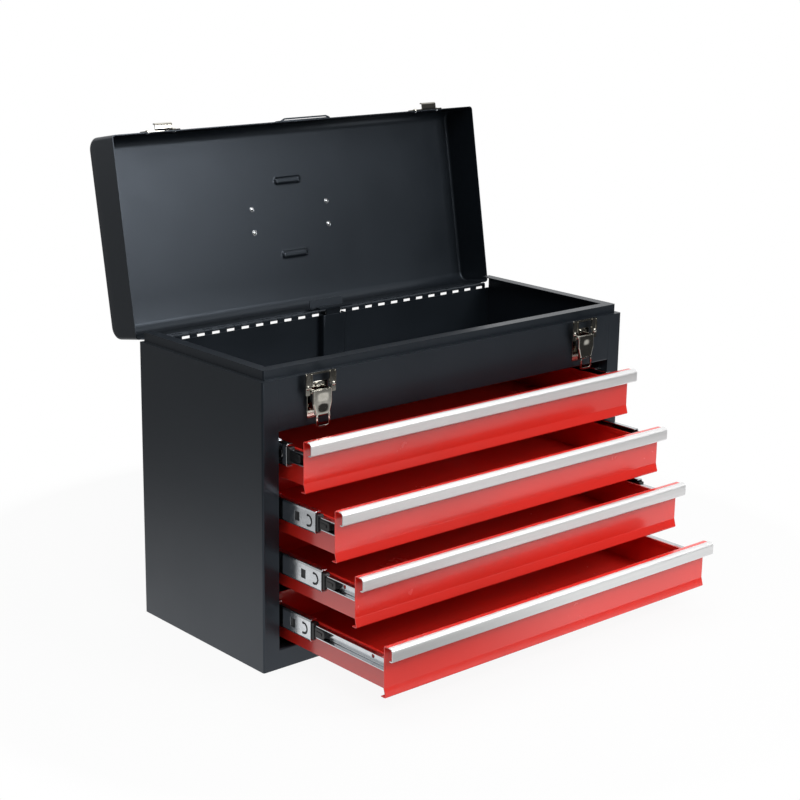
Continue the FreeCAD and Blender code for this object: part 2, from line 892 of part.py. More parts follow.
def make_lid_shell():
    """Pressed lid with two stiffening dimples, cut shorter at the back for the hinge."""
    inner_ease = s.lid_end_radius - s.sheet * 2
    outside = pressed_box("LidOutside", Size(0, "0"), lid_bottom, "Fillet", s.lid_end_radius)
    inside = pressed_box("LidInside", s.sheet, lid_bottom - s.overrun, "Chamfer", inner_ease)
    rear_cut = new_body("LidRearCut")
    rear_low = rectangle(
        -inner_half,
        inner_half,
        lid_z(lid_bottom - s.overrun),
        lid_z(lid_bottom + s.lid_rear_lift),
    )
    slab(rear_cut, "XZ", [rear_low], lid_y(rear - s.sheet - s.overrun), lid_y(rear + s.overrun))
    dimples = []
    recesses = []
    for way in (-1, 1):
        middle = lid_y(way * s.dimple_place)
        for name, inset, low, high, group in (
            ("Dimple", 0, s.sheet + s.dimple_depth, s.sheet / 2, dimples),
            ("Recess", s.sheet, s.dimple_depth, -s.overrun, recesses),
        ):
            body = new_body(name)
            outline = chorded_rectangle(
                inset - s.dimple_length / 2,
                s.dimple_length / 2 - inset,
                middle - s.dimple_width / 2 + inset,
                middle + s.dimple_width / 2 - inset,
                s.dimple_radius - inset,
            )
            slab(body, "XY", [outline], lid_z(lid_top - low), lid_z(lid_top - high))
            group.append(body)
    hollow = combine("Part::MultiFuse", "LidHollow", "Shapes", [inside, rear_cut])
    shell = subtract("LidSkin", outside, hollow)
    pressed = combine("Part::MultiFuse", "LidPressed", "Shapes", [shell] + dimples)
    recess = combine("Part::MultiFuse", "LidRecess", "Shapes", recesses)
    add_lid_node(subtract("LidShell", pressed, recess), "lid_shell")


def make_lid_striker():
    """Angle inside the lid's back wall that presses the lock bar's head down."""
    body = new_body("LidStriker")
    wall = lid_y(rear - s.sheet)
    foot = lid_z(s.case_height + s.striker_gap)
    section = [
        (wall, foot),
        (wall, foot + s.striker_leg),
        (wall - s.sheet, foot + s.striker_leg),
        (wall - s.sheet, foot + s.sheet, s.bend_radius - s.sheet),
        (wall - s.striker_reach, foot + s.sheet),
        (wall - s.striker_reach, foot),
    ]
    slab(body, "YZ", [section], -(s.striker_width / 2), s.striker_width / 2)
    add_lid_node(body, "lid_striker")


def make_lid_pull():
    """Finger tab at the front rim of the lid, with a slot through its lip."""
    body = new_body("LidPull")
    wall = lid_y(front)
    foot = lid_z(lid_bottom + s.pull_lift)
    section = [
        (wall, foot),
        (wall, foot + s.pull_height),
        (wall - s.sheet, foot + s.pull_height),
        (wall - s.sheet, foot + s.sheet, s.bend_radius - s.sheet),
        (wall - s.pull_reach, foot + s.sheet),
        (wall - s.pull_reach, foot),
    ]
    half = s.pull_width / 2
    slab(body, "YZ", [section], -half, half)
    slot = rectangle(
        -(s.pull_slot_width / 2),
        s.pull_slot_width / 2,
        foot + s.pull_height / 2,
        foot + s.pull_height / 2 + s.pull_slot_height,
    )
    cut(body, "XZ", [slot], wall - s.sheet - s.overrun, wall + s.overrun)
    add_lid_node(body, "lid_pull")


def make_catches():
    """Hooks on the lid's front that the latches' draw plates pull down."""
    wall = lid_y(front)
    foot = lid_z(lid_bottom + s.catch_lift)
    outer = wall - s.catch_reach
    plate = wall - s.catch_sheet
    throat = outer + s.catch_lip + s.catch_throat
    section = [
        (plate, foot),
        (outer, foot, s.catch_lip / 2),
        (outer, foot + s.catch_floor + s.catch_lip_rise),
        (outer + s.catch_lip, foot + s.catch_floor + s.catch_lip_rise),
        (outer + s.catch_lip, foot + s.catch_floor),
        (throat, foot + s.catch_floor),
        (throat, foot + s.catch_shoulder),
        (plate, foot + s.catch_height),
    ]
    for side, way in SIDES.items():
        body = new_body("Catch")
        plate_outline = rectangle(
            -(s.catch_foot_width / 2),
            s.catch_foot_width / 2,
            foot + s.catch_foot_lift,
            foot + s.catch_height,
            s.bend_radius,
        )
        slab(body, "XZ", [plate_outline], plate, wall)
        slab(body, "YZ", [section], -(s.catch_width / 2), s.catch_width / 2)
        turn(body, FreeCAD.Vector(1, 0, 0), -s.lid_open_angle)
        add_node(body, "catch_" + side, way * latch_place, hinge_y, hinge_z)


def make_lid_rivets():
    """Rivet heads inside the lid, for the handle brackets and the catches."""
    heads = []
    inside_top = lid_z(lid_top - s.sheet)
    inside_front = lid_y(front + s.sheet)
    catch_height = lid_z(lid_bottom + s.catch_lift + s.catch_height / 2)
    for way in SIDES.values():
        for fore in (-1, 1):
            bracket_x = way * (s.handle_span / 2)
            bracket_y = lid_y(fore * s.bracket_rivet_step / 2)
            heads.append(rivet("BracketRivet", bracket_x, bracket_y, inside_top, DOWNWARD))
            catch_x = way * latch_place + fore * s.catch_rivet_step / 2
            heads.append(rivet("CatchRivet", catch_x, inside_front, catch_height, REARWARD))
    add_lid_node(combine("Part::Compound", "LidRivets", "Links", heads), "lid_rivets")


# Carrying handle

def make_handle_brackets():
    """Brackets on the lid that hold the ends of the handle rod."""
    top = lid_z(lid_top)
    pivot = top + s.pivot_height
    bore = s.rod_radius + s.rod_fit
    ring = bore + s.bracket_wall
    middle = lid_y(0)
    half = s.bracket_width / 2
    for side, way in SIDES.items():
        body = new_body("HandleBracket")
        foot = rectangle(
            -half, half, middle - s.bracket_length / 2, middle + s.bracket_length / 2,
            s.bend_radius,
        )
        slab(body, "XY", [foot], top, top + s.bracket_sheet)
        neck = rectangle(middle - ring, middle + ring, top + s.bracket_sheet / 2, pivot)
        slab(body, "YZ", [neck], -half, half)
        slab(body, "YZ", [many_sided((middle, pivot), ring, 24)], -half, half)
        eye = many_sided((middle, pivot), bore)
        cut(body, "YZ", [eye], -half - s.overrun, half + s.overrun)
        turn(body, FreeCAD.Vector(1, 0, 0), -s.lid_open_angle)
        add_node(body, "handle_bracket_" + side, way * (s.handle_span / 2), hinge_y, hinge_z)


def handle_pivot():
    """Where the open lid carries the handle's pivot."""
    across = lid_y(0)
    up = lid_z(lid_top) + s.pivot_height
    y = hinge_y + across * s.lid_open_angle.cos() + up * s.lid_open_angle.sin()
    z = hinge_z - across * s.lid_open_angle.sin() + up * s.lid_open_angle.cos()
    return y, z


def make_handle():
    """Bent rod that hangs from the brackets, with a moulded grip on its middle."""
    y, z = handle_pivot()
    bracket_half = s.bracket_width / 2
    stub_end = s.handle_span / 2 + bracket_half + s.stub_overhang
    leg = s.handle_span / 2 - bracket_half - s.leg_gap - s.rod_radius
    stub_bend = s.rod_radius + s.leg_gap / 2
    body = new_body("HandleBail")
    path = new_sketch(body, "XZ", 0)
    corners = [
        (-stub_end, 0),
        (-leg, 0, stub_bend),
        (-leg, -s.bail_drop, s.rod_bend),
        (leg, -s.bail_drop, s.rod_bend),
        (leg, 0, stub_bend),
        (stub_end, 0),
    ]
    draw_path(path, corners)
    profile = new_sketch(body, "YZ", -stub_end)
    draw_outline(profile, many_sided((0, 0), s.rod_radius))
    pipe = body.newObject("PartDesign::AdditivePipe", "HandleRod")
    pipe.Profile = profile
    pipe.Spine = path
    add_node(body, "handle_bail", 0, y, z)

    grip = new_body("HandleGrip")
    half = s.grip_length / 2
    middle = (0, -s.bail_drop)
    slab(grip, "YZ", [many_sided(middle, s.grip_radius)], -half, half)
    bore = many_sided(middle, s.rod_radius)
    cut(grip, "YZ", [bore], -half - s.overrun, half + s.overrun)
    first = -(s.grip_groove_step * (s.grip_groove_count - 1) / 2)
    groove_radius = s.grip_radius - s.grip_groove
    ring = [
        many_sided(middle, s.grip_radius + s.overrun),
        many_sided(middle, groove_radius),
    ]
    half_groove = s.grip_groove_width / 2
    groove = cut(grip, "YZ", ring, first - half_groove, first + half_groove)
    repeat(grip, groove, "X", s.grip_groove_step, s.grip_groove_count)
    add_node(grip, "handle_grip", 0, y, z)


def draw_path(sketch, corners):
    """An open run of straight lines with rounded corners, for a bent rod."""
    ends = []
    for place, corner in enumerate(corners):
        if len(corner) == 2:
            ends.append((corner, corner))
        else:
            before, after = corners[place - 1], corners[place + 1]
            ends.append((toward(corner, before, corner[2]), toward(corner, after, corner[2])))
    sides = []
    for place in range(len(corners) - 1):
        start, finish = ends[place][1], ends[place + 1][0]
        side = sketch.addGeometry(Part.LineSegment(flat(start), flat(finish)))
        hold_point(sketch, side, 1, start)
        hold_point(sketch, side, 2, finish)
        sides.append(side)
    for place in range(1, len(corners) - 1):
        round_corner(sketch, corners[place], ends[place], sides[place - 1], sides[place])


# Draw latches

latch_y = front - s.latch_pivot_out
latch_z = s.case_height - s.latch_pivot_drop


def make_latches():
    """Draw latch on each side of the apron: base, lever, draw plate and pins."""
    for side, way in SIDES.items():
        x = way * latch_place
        add_node(latch_base(), "latch_base_" + side, x, latch_y, latch_z)
        add_node(latch_lever(), "latch_lever_" + side, x, latch_y, latch_z)
        add_node(latch_bail(), "latch_bail_" + side, x, latch_y, latch_z)
        add_node(latch_pins(), "latch_pins_" + side, x, latch_y, latch_z)


def latch_base():
    """Plate riveted to the apron, with two ears for the lever's pin."""
    body = new_body("LatchBase")
    wall = s.latch_pivot_out
    plate = wall - s.latch_sheet
    top = s.latch_pivot_drop - s.base_top_drop
    half = s.base_width / 2
    outline = chorded_rectangle(-half, half, top - s.base_height, top, s.bend_radius)
    slab(body, "XZ", [outline], plate, wall)
    bore = many_sided((0, 0), s.latch_pin_radius + s.latch_pin_fit)
    for way in SIDES.values():
        outer, inner = s.ear_half_width, s.ear_half_width - s.latch_sheet
        low, high = (inner, outer) if way > 0 else (-outer, -inner)
        web = rectangle(0, plate + s.latch_sheet / 2, -s.ear_radius, s.ear_radius)
        slab(body, "YZ", [web], low, high)
        slab(body, "YZ", [many_sided((0, 0), s.ear_radius / ROUND_FLAT)], low, high)
        cut(body, "YZ", [bore], low - s.latch_sheet / 2, high + s.latch_sheet / 2)
    return body


def latch_lever():
    """Lever with two cheeks on the pivot pin and an open finger loop at its end."""
    body = new_body("LatchLever")
    inner_face = -s.face_distance
    outer_face = inner_face - s.latch_sheet
    top = s.lever_width / 2
    waist = s.lever_waist / 2
    loop = s.loop_width / 2
    right = [
        (top, s.face_top),
        (top, -s.lever_taper_top),
        (waist, -s.lever_taper_foot),
        (loop, -s.lever_taper_foot),
    ] + chorded((loop, -s.lever_length), s.loop_radius, -1, 1, 4)[::-1]
    slab(body, "XZ", [right + flipped(right)], outer_face, inner_face)
    hole = chorded_rectangle(
        s.loop_band - loop,
        loop - s.loop_band,
        s.loop_band - s.lever_length,
        -s.lever_taper_foot - s.loop_band / 2,
        s.loop_radius - s.loop_band / 2,
    )
    cut(body, "XZ", [hole], outer_face - s.overrun, inner_face + s.overrun)
    cheek_low = -s.link_drop - s.cheek_foot
    for way in SIDES.values():
        outer, inner = s.cheek_half_width, s.cheek_half_width - s.latch_sheet
        low, high = (inner, outer) if way > 0 else (-outer, -inner)
        cheek = [
            (outer_face + s.latch_sheet / 2, s.face_top),
            (outer_face + s.latch_sheet / 2, cheek_low),
            *chorded((s.cheek_radius, cheek_low), s.cheek_radius, -1, 1),
            (s.cheek_radius, s.face_top),
        ]
        slab(body, "YZ", [cheek], low, high)
        slab(body, "YZ", [many_sided((0, 0), s.cheek_radius / ROUND_FLAT)], low, high)
        bore = many_sided((0, 0), s.latch_pin_radius + s.latch_pin_fit)
        cut(body, "YZ", [bore], low - s.latch_sheet / 2, high + s.latch_sheet / 2)
        lug = s.draw_slot / 2 + s.latch_sheet + s.trunnion_overhang
        low, high = (inner, lug) if way > 0 else (-lug, -inner)
        slab(body, "YZ", [many_sided((0, -s.link_drop), s.latch_pin_radius)], low, high)
    return body


def latch_bail():
    """Draw plate: a window under its top bar, and two lugs on the lever's trunnions."""
    body = new_body("LatchBail")
    half = s.draw_width / 2
    slot = s.draw_slot / 2
    window = s.draw_window / 2
    top = s.draw_top
    right = [(half, -s.draw_foot)] + chorded((half, top), s.draw_radius, -1, -1)[::-1]
    inner = [
        (-slot, -s.draw_foot),
        (-slot, s.draw_shoulder),
        (-window, s.draw_shoulder),
        (-window, top - s.draw_bar),
    ]
    outline = right + flipped(right) + inner + flipped(inner)
    slab(body, "XZ", [outline], 0, s.draw_plate)
    for way in SIDES.values():
        low, high = (slot, slot + s.latch_sheet)
        if way < 0:
            low, high = -high, -low
        web = rectangle(-s.lug_radius, s.lug_radius, -s.link_drop, s.lug_radius - s.draw_foot)
        slab(body, "YZ", [web], low, high)
        slab(body, "YZ", [many_sided((0, -s.link_drop), s.lug_radius / ROUND_FLAT)], low, high)
        bore = many_sided((0, -s.link_drop), s.latch_pin_radius + s.latch_pin_fit)
        cut(body, "YZ", [bore], low - s.latch_sheet / 2, high + s.latch_sheet / 2)
    return body


def latch_pins():
    """Lever pin with its heads, and the two rivets of the base."""
    pin = new_body("LatchPin")
    half = s.cheek_half_width + s.pin_head
    slab(pin, "YZ", [many_sided((0, 0), s.latch_pin_radius)], -half, half)
    plate = s.latch_pivot_out - s.latch_sheet
    middle = s.latch_pivot_drop - s.base_top_drop - s.base_height / 2
    heads = [
        rivet("BaseRivet", 0, plate, middle + way * s.base_rivet_step / 2, FRONTWARD)
        for way in (-1, 1)
    ]
    return combine("Part::Compound", "LatchPins", "Links", [pin] + heads)


# Drawers, each drawn from its front plane and the underside of its lip

def make_drawer(drawer):
    y = front - numbered("drawer_out", drawer)
    z = lip_height(drawer)
    add_node(drawer_pan(), "drawer_pan_%d" % drawer, 0, y, z)
    add_node(drawer_front(), "drawer_front_%d" % drawer, 0, y, z)
    add_node(pull_strip(), "pull_strip_%d" % drawer, 0, y, z)
    add_node(drawer_member(), "drawer_member_%d" % drawer, 0, y, z)


def drawer_pan():
    """Sheet box with hemmed rims behind the drawer front."""
    body = new_body("DrawerPan")
    near, far = s.sheet, s.pan_length
    slab(body, "XY", [rectangle(-pan_half, pan_half, near, far)], s.pan_lift, pan_rim)
    inside = rectangle(
        s.sheet - pan_half, pan_half - s.sheet, near + s.sheet, far - s.sheet
    )
    cut(body, "XY", [inside], s.pan_lift + s.sheet, pan_rim + s.overrun)
    for way in SIDES.values():
        wall, hem = pan_half - s.sheet, pan_half - s.sheet - s.sheet
        low, high = (hem, wall) if way > 0 else (-wall, -hem)
        edge = rectangle(near + s.sheet, far - s.sheet, pan_rim - s.pan_hem, pan_rim)
        slab(body, "YZ", [edge], low, high)
    return body


def drawer_front():
    """Folded front: flared lip with a hem below, rounded nose above."""
    body = new_body("DrawerFront")
    half = opening_half - s.front_gap
    top = front_height
    section = [
        (-s.lip_flare, 0),
        (s.lip_hem, 0),
        (s.lip_hem, s.sheet),
        (s.sheet - s.lip_flare, s.sheet),
        (s.sheet, s.lip_rise),
        (s.sheet, top),
        (-s.nose_reach, top, s.nose_radius),
        (-s.nose_reach, top - s.nose_drop),
        (s.sheet - s.nose_reach, top - s.nose_drop),
        (s.sheet - s.nose_reach, top - s.sheet, s.nose_radius - s.sheet),
        (0, top - s.sheet),
        (0, s.lip_rise),
        (-s.lip_flare, s.sheet),
    ]
    slab(body, "YZ", [section], -half, half)
    return body


def pull_strip():
    """Bright strip rolled over the nose, turned in below as the finger grip."""
    body = new_body("PullStrip")
    half = opening_half - s.front_gap + s.strip_overhang
    top = front_height
    crest = top + s.strip_sheet
    foot = crest - s.strip_height
    back = -s.nose_reach
    face = back - s.strip_sheet
    section = [
        (back + s.strip_cover, top),
        (back, top, s.nose_radius),
        (back, foot + s.strip_sheet),
        (face + s.strip_return, foot + s.strip_sheet),
        (face + s.strip_return, foot),
        (face, foot, s.strip_sheet),
        (face, crest, s.nose_radius + s.strip_sheet),
        (back + s.strip_cover, crest),
    ]
    slab(body, "YZ", [section], -half, half)
    return body


# Slides, drawn from the closed front plane and the lip of their drawer

def make_slides(drawer):
    z = lip_height(drawer)
    add_node(case_member(), "case_member_%d" % drawer, 0, front, z)
    y = front - numbered("runner_out", drawer)
    add_node(middle_member(), "middle_member_%d" % drawer, 0, y, z)
    add_node(slide_bumper(), "slide_bumper_%d" % drawer, 0, y, z)


def case_member():
    """Outer channel of the slide, on the inner side panel."""
    body = new_body("CaseMember")
    section = channel(
        opening_half,
        opening_half - s.case_member_reach,
        slide_middle,
        s.case_member_height,
        s.slide_sheet,
        s.slide_bend,
    )
    start = s.case_member_inset
    slab(body, "XZ", [section], start, start + s.case_member_length)
    return both_sides("CaseMembers", body)


middle_web = opening_half - s.middle_member_offset
middle_tip = middle_web - s.middle_member_reach
middle_height = s.case_member_height - s.slide_sheet * 2 - s.slide_gap * 2


def middle_member():
    """Middle channel, which runs in the outer one, with a window and a tongue near its front."""
    body = new_body("MiddleMember")
    section = channel(
        middle_web, middle_tip, slide_middle, middle_height, s.slide_sheet, s.slide_bend
    )
    start = s.middle_member_inset
    slab(body, "XZ", [section], start, start + s.middle_member_length)
    window = rectangle(
        start + s.window_inset,
        start + s.window_inset + s.window_length,
        slide_middle - s.window_height / 2,
        slide_middle + s.window_height / 2,
    )
    outer = s.tongue_height / 2
    inner = outer - s.tongue_slot
    nose = start + s.tongue_inset
    tail = nose + s.tongue_length
    inner_nose = nose + s.tongue_slot
    inner_radius = s.tongue_radius - s.tongue_slot
    slot = (
        [(tail, slide_middle + outer)]
        + chorded((nose, slide_middle + outer), s.tongue_radius, 1, -1, 3)
        + chorded((nose, slide_middle - outer), s.tongue_radius, 1, 1, 3)[::-1]
        + [(tail, slide_middle - outer), (tail, slide_middle - inner)]
        + chorded((inner_nose, slide_middle - inner), inner_radius, 1, 1, 3)
        + chorded((inner_nose, slide_middle + inner), inner_radius, 1, -1, 3)[::-1]
        + [(tail, slide_middle + inner)]
    )
    far_side = middle_web + s.overrun
    cut(body, "YZ", [window, slot], middle_web - s.slide_sheet - s.overrun, far_side)
    return both_sides("MiddleMembers", body)


def slide_bumper():
    """Plastic nose of the middle member, tapered, which keeps the drawer member centred."""
    body = new_body("SlideBumper")
    web = middle_web - s.slide_sheet
    tip = middle_tip + s.bumper_wall_inset
    half = middle_height / 2 - s.slide_sheet
    hollow = s.drawer_member_height / 2 + s.slide_gap
    floor = pan_half + s.drawer_member_reach + s.slide_gap
    bend = s.slide_bend - s.slide_sheet
    section = (
        [(tip, slide_middle - half)]
        + chorded((web, slide_middle - half), bend, -1, 1)
        + chorded((web, slide_middle + half), bend, -1, -1)[::-1]
        + [(tip, slide_middle + half), (tip, slide_middle + hollow)]
        + [(floor, slide_middle + hollow), (floor, slide_middle - hollow)]
        + [(tip, slide_middle - hollow)]
    )
    start = s.middle_member_inset - s.bumper_overhang
    slab(body, "XZ", [section], start, s.middle_member_inset + s.bumper_depth)
    edge = half + s.overrun
    tip_half = s.bumper_tip_height / 2
    for way in (-1, 1):
        bevel = [
            (start, slide_middle + tip_half * way),
            (s.middle_member_inset, slide_middle + half * way),
            (s.middle_member_inset, slide_middle + edge * way),
            (start - s.overrun, slide_middle + edge * way),
            (start - s.overrun, slide_middle + tip_half * way),
        ]
        cut(body, "YZ", [bevel], tip - s.middle_member_reach, web + s.overrun)
    return both_sides("SlideBumpers", body)


def drawer_member():
    """Inner channel of the slide, on the drawer's side wall."""
    body = new_body("DrawerMember")
    section = channel(
        pan_half,
        pan_half + s.drawer_member_reach,
        slide_middle,
        s.drawer_member_height,
        s.slide_sheet,
        s.slide_bend,
    )
    slab(body, "XZ", [section], s.sheet, s.pan_length - s.drawer_member_end_gap)
    holes = [
        many_sided((s.slide_hole_inset + s.slide_hole_step * step, slide_middle), s.slide_hole_radius, 8)
        for step in (0, 1)
    ]
    cut(body, "YZ", holes, pan_half - s.overrun, pan_half + s.slide_sheet + s.overrun)
    return both_sides("DrawerMembers", body)


def check_features():
    """Stop when a feature failed, a cut removed nothing or a piece isn't a valid solid."""
    for thing in doc.Objects:
        if "Invalid" in thing.State or "Error" in thing.State:
            raise RuntimeError("%s (%s) failed: %s" % (thing.Name, thing.Label, thing.State))
        if thing.TypeId == "PartDesign::Pocket":
            removed = thing.BaseFeature.Shape.Volume - thing.Shape.Volume
            if removed <= 0:
                raise RuntimeError("%s removes nothing" % thing.Name)
    for node in NODES:
        shape = node.Shape
        if shape.isNull() or not shape.isValid() or not shape.Solids:
            raise RuntimeError("%s has no valid solid" % node.Label)


def build():
    make_case_shell()
    make_case_bottom()
    make_front_apron()
    make_tray()
    make_slide_panels()
    make_lock_bar()
    make_lock_channel()
    make_lock_guides()
    make_hinge()
    make_lid_shell()
    make_lid_striker()
    make_lid_pull()
    make_catches()
    make_lid_rivets()
    make_handle_brackets()
    make_handle()
    make_latches()
    for drawer in DRAWERS:
        make_drawer(drawer)
        make_slides(drawer)


def export_nodes():
    os.makedirs("parts", exist_ok=True)
    for node in NODES:
        node.Shape.exportStep("parts/%s.step" % node.Label)
        box = node.Shape.BoundBox
        print(
            "%-22s solids %d  X %.1f %.1f  Y %.1f %.1f  Z %.1f %.1f  volume %.0f"
            % (
                node.Label, len(node.Shape.Solids), box.XMin, box.XMax,
                box.YMin, box.YMax, box.ZMin, box.ZMax, node.Shape.Volume,
            )
        )


build()
doc.recompute()
check_features()
export_nodes()
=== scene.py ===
import json
import logging
import math
from dataclasses import dataclass
from enum import Enum

import bmesh
import bpy
import numpy as np
from mathutils import Matrix, Vector


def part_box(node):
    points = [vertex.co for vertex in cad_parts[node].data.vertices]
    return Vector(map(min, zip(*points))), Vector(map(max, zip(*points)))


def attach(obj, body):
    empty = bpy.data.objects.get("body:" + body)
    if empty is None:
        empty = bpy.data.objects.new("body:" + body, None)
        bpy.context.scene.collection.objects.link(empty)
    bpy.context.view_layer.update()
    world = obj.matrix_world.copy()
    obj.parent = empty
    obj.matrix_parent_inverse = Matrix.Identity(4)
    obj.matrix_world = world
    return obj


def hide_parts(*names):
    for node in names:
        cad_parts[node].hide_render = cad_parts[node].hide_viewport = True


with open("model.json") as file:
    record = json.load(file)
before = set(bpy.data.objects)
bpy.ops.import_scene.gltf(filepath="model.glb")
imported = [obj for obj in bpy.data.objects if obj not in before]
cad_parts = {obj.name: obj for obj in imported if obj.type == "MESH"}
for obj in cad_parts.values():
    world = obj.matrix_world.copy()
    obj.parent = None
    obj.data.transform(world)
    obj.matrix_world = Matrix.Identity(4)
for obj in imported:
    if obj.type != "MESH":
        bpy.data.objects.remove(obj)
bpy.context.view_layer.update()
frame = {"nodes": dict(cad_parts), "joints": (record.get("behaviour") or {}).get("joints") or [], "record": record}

# Looks of the portable tool box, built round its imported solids. Metres, in the
# part's own frame: +X right, +Y back, +Z up, floor at Z = 0.

MM = 0.001
LOG = logging.getLogger("tool_box")
SIDES = (("left", -1), ("right", 1))
ARC_POINTS = 7
HEAD_SIDES = 24
Array = np.ndarray
Socket = bpy.types.NodeSocket
Pair = tuple[float, float]
Triple = tuple[float, float, float]
Outline = tuple[Pair, ...]


# Shader trees

class Blend(Enum):
    """What a Mix node blends: its kind, its first value's input and its output."""

    NUMBER = ("FLOAT", 2, 0)
    COLOUR = ("RGBA", 6, 2)


class Ramp(Enum):
    """How a value changes between the ends of its range."""

    EVEN = "LINEAR"
    SMOOTH = "SMOOTHSTEP"


class Tree:
    """Adds nodes to one shader tree and joins them."""

    def __init__(self, tree: bpy.types.NodeTree) -> None:
        """Args:
            tree: the node tree to fill.
        """
        self.tree = tree

    def add(self, kind: str, **inputs: object) -> bpy.types.Node:
        """Add a node.

        Args:
            kind: the node's type, without the words ShaderNode.
            inputs: attributes of the node, or values and sockets of its inputs,
                named as they are with spaces written as low lines.

        Returns:
            The new node.
        """
        node = self.tree.nodes.new("ShaderNode" + kind)
        for name, value in inputs.items():
            if hasattr(node, name) and not isinstance(value, Socket):
                setattr(node, name, value)
            else:
                self.feed(node.inputs[name.replace("_", " ")], value)
        return node

    def feed(self, target: Socket, value: object) -> None:
        """Set an input to a value, or join a socket to it.

        Args:
            target: the input.
            value: the value or the socket.
        """
        if isinstance(value, Socket):
            self.tree.links.new(value, target)
        else:
            target.default_value = value

    def work(self, kind: str, operation: str, *values: object) -> bpy.types.Node:
        """Add a node that works on its first inputs.

        Args:
            kind: Math for numbers, VectorMath for vectors.
            operation: what it does, in the node's own words.
            values: values or sockets of its inputs, in order.

        Returns:
            The new node.
        """
        node = self.add(kind, operation=operation)
        for target, value in zip(node.inputs, values):
            self.feed(target, value)
        return node

    def maths(self, operation: str, first: object, second: object) -> Socket:
        """The result of one sum of two numbers or sockets."""
        return self.work("Math", operation, first, second).outputs[0]

    def weighed(self, first: Socket, share: float, second: Socket, rest: float) -> Socket:
        """The sum of two sockets, each times its own weight."""
        terms = self.maths("MULTIPLY", first, share), self.maths("MULTIPLY", second, rest)
        return self.maths("ADD", *terms)

    def mix(self, blend: Blend, factor: object, first: object, second: object) -> Socket:
        """Blend two values.

        Args:
            blend: whether they are numbers or colours.
            factor: share of the second value.
            first: the value at factor 0.
            second: the value at factor 1.

        Returns:
            The blend's socket.
        """
        kind, place, result = blend.value
        node = self.add("Mix", data_type=kind)
        for number, value in ((0, factor), (place, first), (place + 1, second)):
            self.feed(node.inputs[number], value)
        return node.outputs[result]

    def ranged(
        self, value: Socket, start: float, end: float, low: float = 0.0, high: float = 1.0,
        ramp: Ramp = Ramp.SMOOTH,
    ) -> Socket:
        """Carry a value from one range to another.

        Args:
            value: the value to carry.
            start: where the result begins to change.
            end: where it stops changing.
            low: the result at the start.
            high: the result at the end.
            ramp: how it changes between them.

        Returns:
            The result's socket.
        """
        node = self.add("MapRange", interpolation_type=ramp.value, Value=value)
        self.feed(node.inputs["To Min"], low)
        self.feed(node.inputs["To Max"], high)
        self.feed(node.inputs["From Min"], start)
        self.feed(node.inputs["From Max"], end)
        return node.outputs[0]

    def noise(self, vector: Socket, scale: object, detail: float, rough: float = 0.5) -> Socket:
        """Noise from 0 to 1, by cells per metre, octaves and the finer octaves' weight."""
        node = self.add("TexNoise", Vector=vector, Scale=scale, Detail=detail, Roughness=rough)
        return node.outputs[0]


class Effect(Enum):
    """Shader groups that several finishes share."""

    GRAIN = "powder_grain"
    BRUSHED = "brushed_lines"
    SPANGLE = "zinc_spangle"
    HANDLING = "soft_handling"


@dataclass(frozen=True)
class Group:
    """A shader group that reads a vector and some numbers and returns masks."""

    effect: Effect
    numbers: dict[str, float]

    def pattern(self, tree: Tree, vector: Socket, *numbers: Socket) -> dict[str, Socket]:
        """Masks of the group by name, from the vector and its numbers."""
        raise NotImplementedError

    def make(self) -> None:
        """Fill the group, with one output for each mask of its pattern."""
        group = bpy.data.node_groups.new(self.effect.value, "ShaderNodeTree")
        sockets = group.interface
        sockets.new_socket("Vector", in_out="INPUT", socket_type="NodeSocketVector")
        for name, value in self.numbers.items():
            number = sockets.new_socket(name, in_out="INPUT", socket_type="NodeSocketFloat")
            number.default_value = value
        tree, start = Tree(group), group.nodes.new("NodeGroupInput")
        vector, *numbers = [start.outputs[name] for name in ("Vector", *self.numbers)]
        masks = self.pattern(tree, vector, *numbers)
        for name in masks:
            sockets.new_socket(name, in_out="OUTPUT", socket_type="NodeSocketFloat")
        end = group.nodes.new("NodeGroupOutput")
        for name, mask in masks.items():
            tree.feed(end.inputs[name], mask)


@dataclass(frozen=True)
class GrainGroup(Group):
    """Fine pebbled skin of powder coat: small cells softened by noise."""

    finer: float = 2.3
    cells_weight: float = -0.7
    noise_weight: float = 0.6
    tone_scale: float = 0.012

    def pattern(self, tree: Tree, vector: Socket, scale: Socket) -> dict[str, Socket]:
        """Nodes of the pattern.

        Args:
            tree: the group's tree.
            vector: where the pattern is read.
            scale: cells per metre.

        Returns:
            The masks Height and Tone.
        """
        pebbles = tree.add("TexVoronoi", feature="SMOOTH_F1", Vector=vector, Scale=scale)
        fine = tree.noise(vector, tree.maths("MULTIPLY", scale, self.finer), 2.0)
        cells = pebbles.outputs["Distance"]
        height = tree.weighed(cells, self.cells_weight, fine, self.noise_weight)
        tone = tree.noise(vector, tree.maths("MULTIPLY", scale, self.tone_scale), 3.0)
        return {"Height": height, "Tone": tone}


@dataclass(frozen=True)
class BrushedGroup(Group):
    """Lines drawn along X: noise stretched lengthwise, coarse and fine together."""

    sharpness: float = 0.6
    coarser: float = 0.12

    def pattern(
        self, tree: Tree, vector: Socket, scale: Socket, stretch: Socket
    ) -> dict[str, Socket]:
        """Nodes of the pattern.

        Args:
            tree: the group's tree.
            vector: where the pattern is read.
            scale: cells per metre.
            stretch: share of the scale that is left along X.

        Returns:
            The masks Lines and Bands.
        """
        factor = tree.add("CombineXYZ", X=stretch, Y=1.0, Z=1.0).outputs[0]
        across = tree.work("VectorMath", "MULTIPLY", vector, factor).outputs[0]
        lines = tree.noise(across, scale, 3.0, self.sharpness)
        bands = tree.noise(across, tree.maths("MULTIPLY", scale, self.coarser), 2.0)
        return {"Lines": lines, "Bands": bands}


